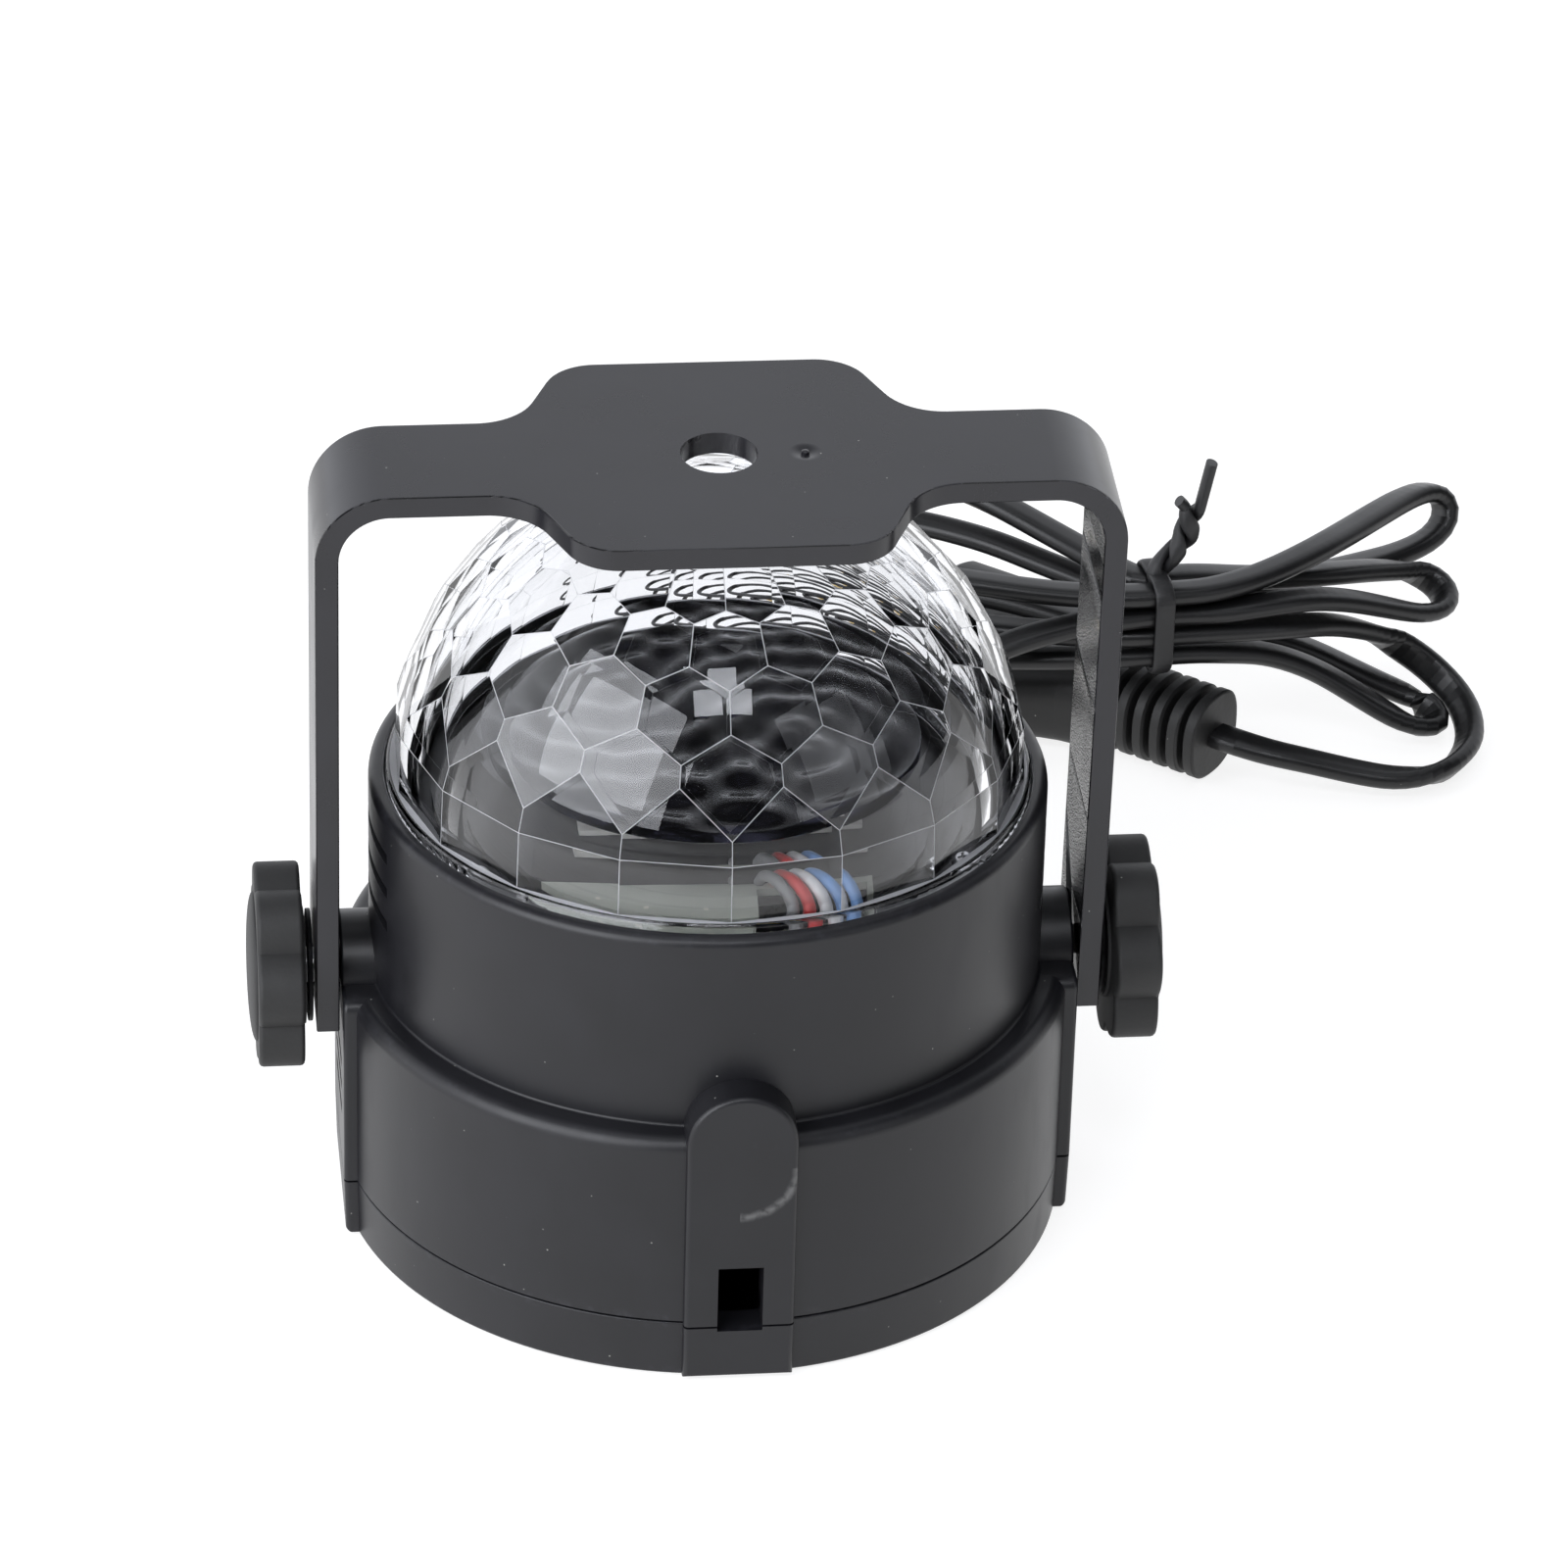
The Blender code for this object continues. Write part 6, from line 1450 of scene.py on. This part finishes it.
    def cover_cuts(self) -> list[Shape]:
        """The screw holes, the feet's recesses, and the notches for the port and the gland."""
        screw_hole = [(0, -0.0012), (0.0029, -0.0012), (0.0029, 0.0064), (0.0016, 0.0064),
                      (0.0016, 0.0122), (0, 0.0122)]
        cuts = [Shape.spun(screw_hole, 32).moved(place) for place in base_screw_places()]
        for azimuth in round_azimuths(4):
            cuts.append(Shape.disc(0.0048, -0.0012, 0.0017, 48).moved(on_circle(0.0337, azimuth)))
        cuts.append(Shape.box((PORT_LEFT, -0.0501, 0.0079), (PORT_RIGHT, -0.0433, 0.0122)))
        cuts.append(self.gland_hole(0.0059, 0.0430, 0.0459))
        return cuts


# Dome


@dataclass
class FacetedDome:
    """The thick clear dome: flat facets outside, smooth inside, on a round flange."""

    radius: float = 0.0409
    wall: float = 0.0024
    centre: float = 0.0635
    flange_radius: float = 0.0418
    flange_low: float = 0.0612
    flange_top: float = 0.0643
    turn: float = math.radians(-1.4)
    edge: float = 0.00006
    least_facet: float = 0.000004
    rows: Sequence[tuple] = (
        (2, 18, True, 0.0005), (16.5, 18, True, 0), (26, 18, False, 0), (39, 18, True, 0),
        (51, 18, False, 0), (62, 18, True, 0), (73, 9, True, 0), (90, 1, False, 0),
    )

    def build(self) -> None:
        """Cuts the facets, softens their edges, adds the flange and hollows the dome."""
        shape = Shape()
        middle = Matrix.Translation((0, 0, self.centre))
        bmesh.ops.create_cube(shape.bm, size=4 * self.radius, matrix=middle)
        self.cut(shape, Vector((0, 0, self.flange_top - 0.0005)), -UP)
        for elevation, count, half_step, inset in self.rows:
            start = self.turn - QUARTER + (math.pi / count if half_step else 0)
            tilt = math.radians(elevation)
            for azimuth in round_azimuths(count, start):
                normal = on_circle(math.cos(tilt), azimuth, math.sin(tilt))
                self.cut(shape, Vector((0, 0, self.centre)) + normal * (self.radius - inset), normal)
        shape.cleaned()
        edges = [edge for edge in shape.bm.edges if any(v.co.z > self.flange_top for v in edge.verts)]
        shape.rounded(edges, self.edge, 2)
        flange = rounded_path([
            (0, self.flange_low, 0), (self.flange_radius, self.flange_low, 0.0003),
            (self.flange_radius, self.flange_top, 0.0005), (0, self.flange_top, 0),
        ], 3)
        inner = self.radius - self.wall
        hollow = [(0, 0.0590), (inner, 0.0590)]
        hollow += [(inner * math.cos(a), self.centre + inner * math.sin(a))
                   for a in (QUARTER * i / 40 for i in range(40))]
        hollow.append((0, self.centre + inner))
        dome = shape.combined([Shape.spun(flange, 144)], [Shape.spun(hollow, 144)])
        obj = dome.finished("clear_faceted_dome", CLEAR, "casing", ("faceted_dome",), smooth=False)
        self.smooth_inside(obj)

    def cut(self, shape: Shape, point: Vector, normal: Vector) -> None:
        """Takes away what lies past a plane and closes the cut with one face."""
        bm = shape.bm
        found = bmesh.ops.bisect_plane(
            bm, geom=bm.verts[:] + bm.edges[:] + bm.faces[:], dist=0.000003,
            plane_co=point, plane_no=normal, clear_outer=True,
        )
        edges = [item for item in found["geom_cut"] if isinstance(item, bmesh.types.BMEdge)]
        if len(edges) > 2:
            bmesh.ops.contextual_create(bm, geom=edges)

    def smooth_inside(self, obj: bpy.types.Object) -> None:
        """Shades the hollow, the flange and the rubbed edges smooth, and leaves the facets flat."""
        centre = Vector((0, 0, self.centre))
        inner = self.radius - self.wall
        obj.data.materials.append(RUBBED_EDGE.material())
        for face in obj.data.polygons:
            reach = max((obj.data.vertices[i].co - centre).length for i in face.vertices)
            rubbed = reach > inner + 0.0010 and face.area < self.least_facet
            face.use_smooth = reach < inner + 0.0003 or rubbed
            if rubbed and face.center.z > self.flange_top:
                face.material_index = 1


# Bracket and knobs


@dataclass
class Bracket:
    """The bent strip with its wide top plate, turned on the pivot as it stands."""

    half_width: float = 0.0514
    thickness: float = 0.0030
    rise: float = 0.0765
    bend: float = 0.0095
    tilt: float = math.radians(3.3)
    arm: float = 0.0089
    leg: float = 0.0047
    hole: float = 0.0049
    gate: Point = (0.0109, -0.0003)
    plan: Sequence[tuple] = (
        (0.0340, 0.0089, 0), (0.02478, 0.0089, 0.0082), (0.01859, 0.0228, 0.0070), (0.0100, 0.0228, 0),
    )

    def build(self) -> None:
        """Sweeps the strip, rounds its edges, and cuts its holes and the gate mark."""
        frames = []
        for x, z, angle, depth in self.stations():
            outward = Vector((math.cos(angle), 0, math.sin(angle)))
            across = Vector((0, depth / self.arm, 0))
            along = Vector((0, 1, 0)).cross(outward)
            middle = Vector((x, 0, z)) - outward * self.thickness / 2
            frames.append(placed_frame(middle, across, outward, along))
        half = self.thickness / 2
        section = [(-self.arm, -half), (self.arm, -half), (self.arm, half), (-self.arm, half)]
        strip = Shape.swept(section, frames).bevelled(0.00022, 2, 60)
        cuts = [Shape.disc(self.hole, self.rise - 0.006, self.rise + 0.002, 64), self.gate_mark()]
        cuts += [Shape.disc(0.0029, 0.0473, 0.0525, 48).sideways(side, 0) for side in Side]
        nub = Shape.spun([(0, self.rise - 0.0010), (0.00055, self.rise - 0.0010),
                          (0.0005, self.rise + 0.00010), (0.0003, self.rise + 0.0002),
                          (0, self.rise + 0.00022)], 24).moved((*self.gate, 0))
        shape = strip.combined([], cuts).combined([nub], [])
        shape.turned(self.tilt, "X").moved((0, 0, PIVOT))
        shape.finished("bent_bracket", BRACKET, "bracket", ("bracket",))

    def stations(self) -> list[tuple]:
        """Where the strip's outside runs: X, Z, the way it faces and its half depth."""
        corner_x, corner_z = self.half_width - self.bend, self.rise - self.bend
        rows = [(-self.half_width, -self.leg, math.pi, self.arm)]
        rows += [(-self.half_width, corner_z * i / 4, math.pi, self.arm) for i in range(4)]
        steps = 20
        for i in range(steps + 1):
            angle = math.pi - QUARTER * i / steps
            x, z = -corner_x + self.bend * math.cos(angle), corner_z + self.bend * math.sin(angle)
            rows.append((x, z, angle, self.arm))
        rows += [(-x, self.rise, QUARTER, depth) for x, depth in rounded_path(self.plan, 14)]
        mirrored = [(-x, z, math.pi - angle, depth) for x, z, angle, depth in reversed(rows)]
        return rows + mirrored

    def gate_mark(self) -> Shape:
        """The small dished mark with a nub in it, where the plastic was let in."""
        top, radius, depth = self.rise + 0.0005, 0.0021, 0.0003
        steps = 12
        profile = [(0, top), (0, self.rise - depth)]
        for i in range(1, steps + 1):
            share = i / steps
            profile.append((radius * share, self.rise - depth * (1 - eased(share))))
        profile += [(radius, top)]
        return Shape.spun(profile, 36).moved((*self.gate, 0))


@dataclass
class ClampKnobs:
    """On each side a lobed knob with its stud and washer, and the insert they screw into."""

    radius: float = 0.0126
    lobes: int = 7
    lobe_depth: float = 0.0011
    thickness: float = 0.0071
    start: float = 0.0530
    cap_radius: float = 0.0098
    cap_height: float = 0.0011
    hub_radius: float = 0.0077
    stud_radius: float = 0.0024
    stud_end: float = 0.0570
    stud_length: float = 0.0160

    def build(self) -> None:
        """Makes the pieces of both sides."""
        washer = rounded_path([
            (0.0027, 0.0517, 0), (0.0074, 0.0517, 0.0001),
            (0.0074, 0.0523, 0.0001), (0.0027, 0.0523, 0),
        ], 2)
        for side in Side:
            word = side.word
            knob = self.knob(side).combined([self.collar()], [self.bore()])
            for shape, name, finish, body, node in (
                (knob, "star_knob", KNOB, f"{word}_knob", "knob"),
                (self.stud(), "threaded_stud", STEEL, f"{word}_knob", "stud"),
                (Shape.spun(washer, 64), "plain_washer", BLACK_STEEL, f"{word}_washer", "washer"),
                (self.insert(), "brass_insert", BRASS, "casing", "insert"),
            ):
                shape.sideways(side).finished(f"{word}_{name}", finish, body, (f"{word}_{node}",))

    def knob(self, side: Side) -> Shape:
        """The lobed body: round lobes with creases between them, and rounded rims."""
        turn = QUARTER if side is Side.LEFT else 0.0
        outline = []
        for azimuth in round_azimuths(self.lobes * 24):
            swell = 2 * abs(math.cos(self.lobes * azimuth / 2 + turn)) - 1
            outline.append(tuple(on_circle(self.radius + self.lobe_depth * swell, azimuth).xy))
        plate = Shape.plate(outline, self.start, self.start + self.thickness - self.cap_height)
        return plate.bevelled(0.0006, 3, 65)

    def collar(self) -> Shape:
        """The round collar that bears on the washer, and the domed cap outside."""
        rim = self.start + self.thickness - self.cap_height
        profile = [(0, 0.0526), (self.hub_radius, 0.0526), (self.hub_radius, self.start + 0.001),
                   (self.cap_radius, self.start + 0.001), (self.cap_radius, rim + 0.0001)]
        steps = 14
        for i in range(steps + 1):
            angle = QUARTER * i / steps
            profile.append((self.cap_radius * math.cos(angle) ** 0.8,
                            rim + 0.0001 + (self.cap_height - 0.0001) * math.sin(angle)))
        return Shape.spun(profile[:-1] + [(0, profile[-1][1])], 96)

    def bore(self) -> Shape:
        """The blind bore that holds the stud."""
        return Shape.disc(self.stud_radius + 0.0003, 0.0514, self.stud_end + 0.0003, 32)

    def stud(self) -> Shape:
        """The stud with its thread as close rings of metric shape."""
        first = self.stud_end - self.stud_length
        profile = [(0, first), (self.stud_radius - 0.0006, first)]
        pitch, turns = 0.0008, 12
        for i in range(turns):
            base = first + 0.0002 + i * pitch
            profile += [(self.stud_radius - 0.0005, base), (self.stud_radius, base + pitch * 0.4),
                        (self.stud_radius, base + pitch * 0.55)]
        profile += [(self.stud_radius - 0.0001, first + 0.0002 + turns * pitch),
                    (self.stud_radius, self.stud_end), (0, self.stud_end)]
        return Shape.spun(profile, 32)

    def insert(self) -> Shape:
        """The brass insert with grooves round it."""
        low, high = 0.0398, 0.0478
        corners = [(0.0027, low, 0), (0.0033, low, 0)]
        for i in range(3):
            base = low + 0.0008 + i * 0.0024
            corners += [(0.0036, base, 0.0001), (0.0036, base + 0.0014, 0.0001),
                        (0.0032, base + 0.0016, 0), (0.0032, base + 0.0022, 0)]
        corners += [(0.0036, high - 0.0004, 0), (0.0036, high, 0), (0.0027, high, 0)]
        return Shape.spun(rounded_path(corners, 2), 48)


# Inside


@dataclass
class InnerWorks:
    """The screws, the light unit, the motor and the board: dressed, and detailed where seen."""

    screw_sizes: Sequence[tuple] = (
        ("base_screw", 0.0026, 0.0018, 0.0013, 0.0130),
        ("carrier_screw", 0.0023, 0.0014, 0.0012, 0.0070),
        ("motor_screw", 0.0022, 0.0013, 0.0011, 0.0026),
    )
    ripple_height: float = 0.0006
    ripple_length: float = 0.0085
    ripple_shift: float = 0.0110
    wire_radius: float = 0.00095
    wire_pitch: float = 0.0024
    core_radius: float = 0.0010

    def build(self) -> None:
        """Makes the screws and the wires, and dresses the nodes that stay."""
        motor_screw_places = [Vector((x, 0, 0.0545)) for x in (-0.016, 0.016)]
        for kind, places, turn in (
            ("base_screw", base_screw_places(0.0064), 0),
            ("carrier_screw", carrier_screw_places(0.0576), math.pi),
            ("motor_screw", motor_screw_places, 0),
        ):
            for i, place in enumerate(places):
                name = f"{kind}_{i + 1}"
                shape = self.screw(kind).turned(turn, "X").moved(place)
                shape.finished(f"recessed_{name}", STEEL, "casing", (name,))
        for name, finish in self.dressing().items():
            dress_node(name, finish)
        self.wires()
        self.rotor()

    def rotor(self) -> None:
        """The black hub and the clear wave lens with its smooth ripples; the lens is tinted near black
        as painted shade inside the dome.
        """
        hub = rounded_path([
            (0.0018, 0.0615, 0), (0.0045, 0.0615, 0.0003),
            (0.0045, 0.0675, 0.0003), (0.0018, 0.0675, 0),
        ], 3)
        Shape.spun(hub, 48).finished("black_lens_hub", CARRIER, "wave_rotor", ("lens_hub",))
        bore, rim, low, high = 0.0018, 0.0280, 0.0678, 0.0702
        rings = 36
        profile = [(bore, low), (rim - 0.0004, low), (rim, low + 0.0004), (rim, high - 0.0003)]
        profile += [(rim + (bore - rim) * i / rings, high) for i in range(rings + 1)]
        lens = Shape.spun(profile, 108)
        for vert in lens.bm.verts:
            if vert.co.z > high - WELD:
                vert.co.z += self.ripple(vert.co.x, vert.co.y)
        lens.finished("rippled_wave_lens", WAVE, "wave_rotor", ("wave_lens",))

    def ripple(self, x: float, y: float) -> float:
        """How far the lens's top stands up or down at a point, as waves that cross."""
        far = math.hypot(x - self.ripple_shift, y + self.ripple_shift / 2)
        near = math.hypot(x + self.ripple_shift, y - self.ripple_shift)
        turns = math.tau / self.ripple_length
        return self.ripple_height * (math.sin(turns * far) + math.sin(turns * near)) / 2

    def dressing(self) -> dict[str, Finish]:
        """The finish of each CAD node that stays."""
        table = {f"rubber_foot_{i}": RUBBER for i in range(1, 5)}
        table |= {f"{colour}_emitter": NYLON for colour in ("red", "green", "blue")}
        table |= {
            "lamp_carrier": CARRIER, "light_board": LAMP_BOARD, "gear_motor": STEEL,
            "motor_shaft": STEEL, "control_board": GREEN_BOARD,
            "infrared_receiver": CHIP, "mains_transformer": TAPE, "wire_connector": NYLON,
            "mains_capacitor": VINYL, "microphone": STEEL,
        }
        return table

    def screw(self, kind: str) -> Shape:
        """A self-tapping screw, head down, with its seat at the origin and a crossed recess."""
        _, head, tall, shank, length = next(row for row in self.screw_sizes if row[0] == kind)
        corners = [(0, -tall, 0), (head * 0.7, -tall, tall * 0.3), (head, -tall / 2, tall * 0.2),
                   (head, -0.0003, 0.0001), (shank, -0.0003, 0)]
        pitch = 0.0009
        rings = int((length - 0.002) / pitch)
        for i in range(rings):
            base = 0.0004 + i * pitch
            corners += [(shank * 0.75, base, 0), (shank, base + pitch * 0.5, 0)]
        corners += [(shank * 0.75, length - 0.0015, 0), (0, length, 0)]
        cross = [Shape.box((-w / 2, -d / 2, -tall - 0.0005), (w / 2, d / 2, -tall * 0.45))
                 for w, d in ((head * 1.05, head * 0.24), (head * 0.24, head * 1.05))]
        return Shape.spun(rounded_path(corners, 3), 24).combined([], cross)

    def wires(self) -> None:
        """The four light wires and the two mains cores, as round smooth tubes."""
        colours = {"grey": GREY_WIRE, "red": RED_WIRE, "white": WHITE_WIRE, "blue": BLUE_WIRE}
        for i, (colour, finish) in enumerate(colours.items()):
            shift = (i - 1.5) * self.wire_pitch
            x = 0.0100 + shift
            slot, pad = x + 0.0015, x - 0.0030
            route = [(0.0105 + shift, -0.0140, 0.0165), (0.0105 + shift, -0.0140, 0.0207),
                     (x, -0.0215, 0.0363), (slot, -0.0290, 0.0560), (slot, -0.0288, 0.0600),
                     (x - 0.0003, -0.0262, 0.0622), (pad + 0.0008, -0.0222, 0.0616),
                     (pad, -0.0205, 0.0596)]
            self.wire(f"{colour}_wire", route, self.wire_radius, finish)
        for side, word, finish in ((-1, "brown", BROWN_WIRE), (1, "blue", BLUE_WIRE)):
            route = [(side * 0.0018, 0.0437, 0.0135), (side * 0.0018, 0.0395, 0.0135),
                     (side * 0.0044, 0.0326, 0.0158), (side * 0.0070, 0.0215, 0.0139),
                     (side * 0.0070, 0.0215, 0.0097)]
            self.wire(f"{word}_mains_core", route, self.core_radius, finish)

    def wire(self, node: str, route: Sequence[tuple], radius: float, finish: Finish) -> None:
        """A round wire through the route's points, in place of its CAD node.

        Args:
            node: The CAD node.
            route: The points.
            radius: The wire's radius.
            finish: Its insulation.
        """
        line = splined(route, 0.0007)
        section = [(radius * math.cos(a), radius * math.sin(a)) for a in round_azimuths(16)]
        shape = Shape.swept(section, upright_frames(line, Vector((1, 0, 0))))
        shape.finished(f"insulated_{node}", finish, "casing", (node,))


def corners(bounds: Any) -> list[list[float]]:
    """A box's two corners as plain lists."""
    return [[float(v) for v in corner] for corner in bounds]


def main() -> None:
    """Builds the studio and every sub-assembly."""
    logging.basicConfig(level=logging.INFO, format="%(message)s")
    for part in (Studio(), MainsCord(), Casing(), FacetedDome(), Bracket(), ClampKnobs(), InnerWorks()):
        LOG.info("building %s", type(part).__name__)
        part.build()


if __name__ == "__main__":
    main()
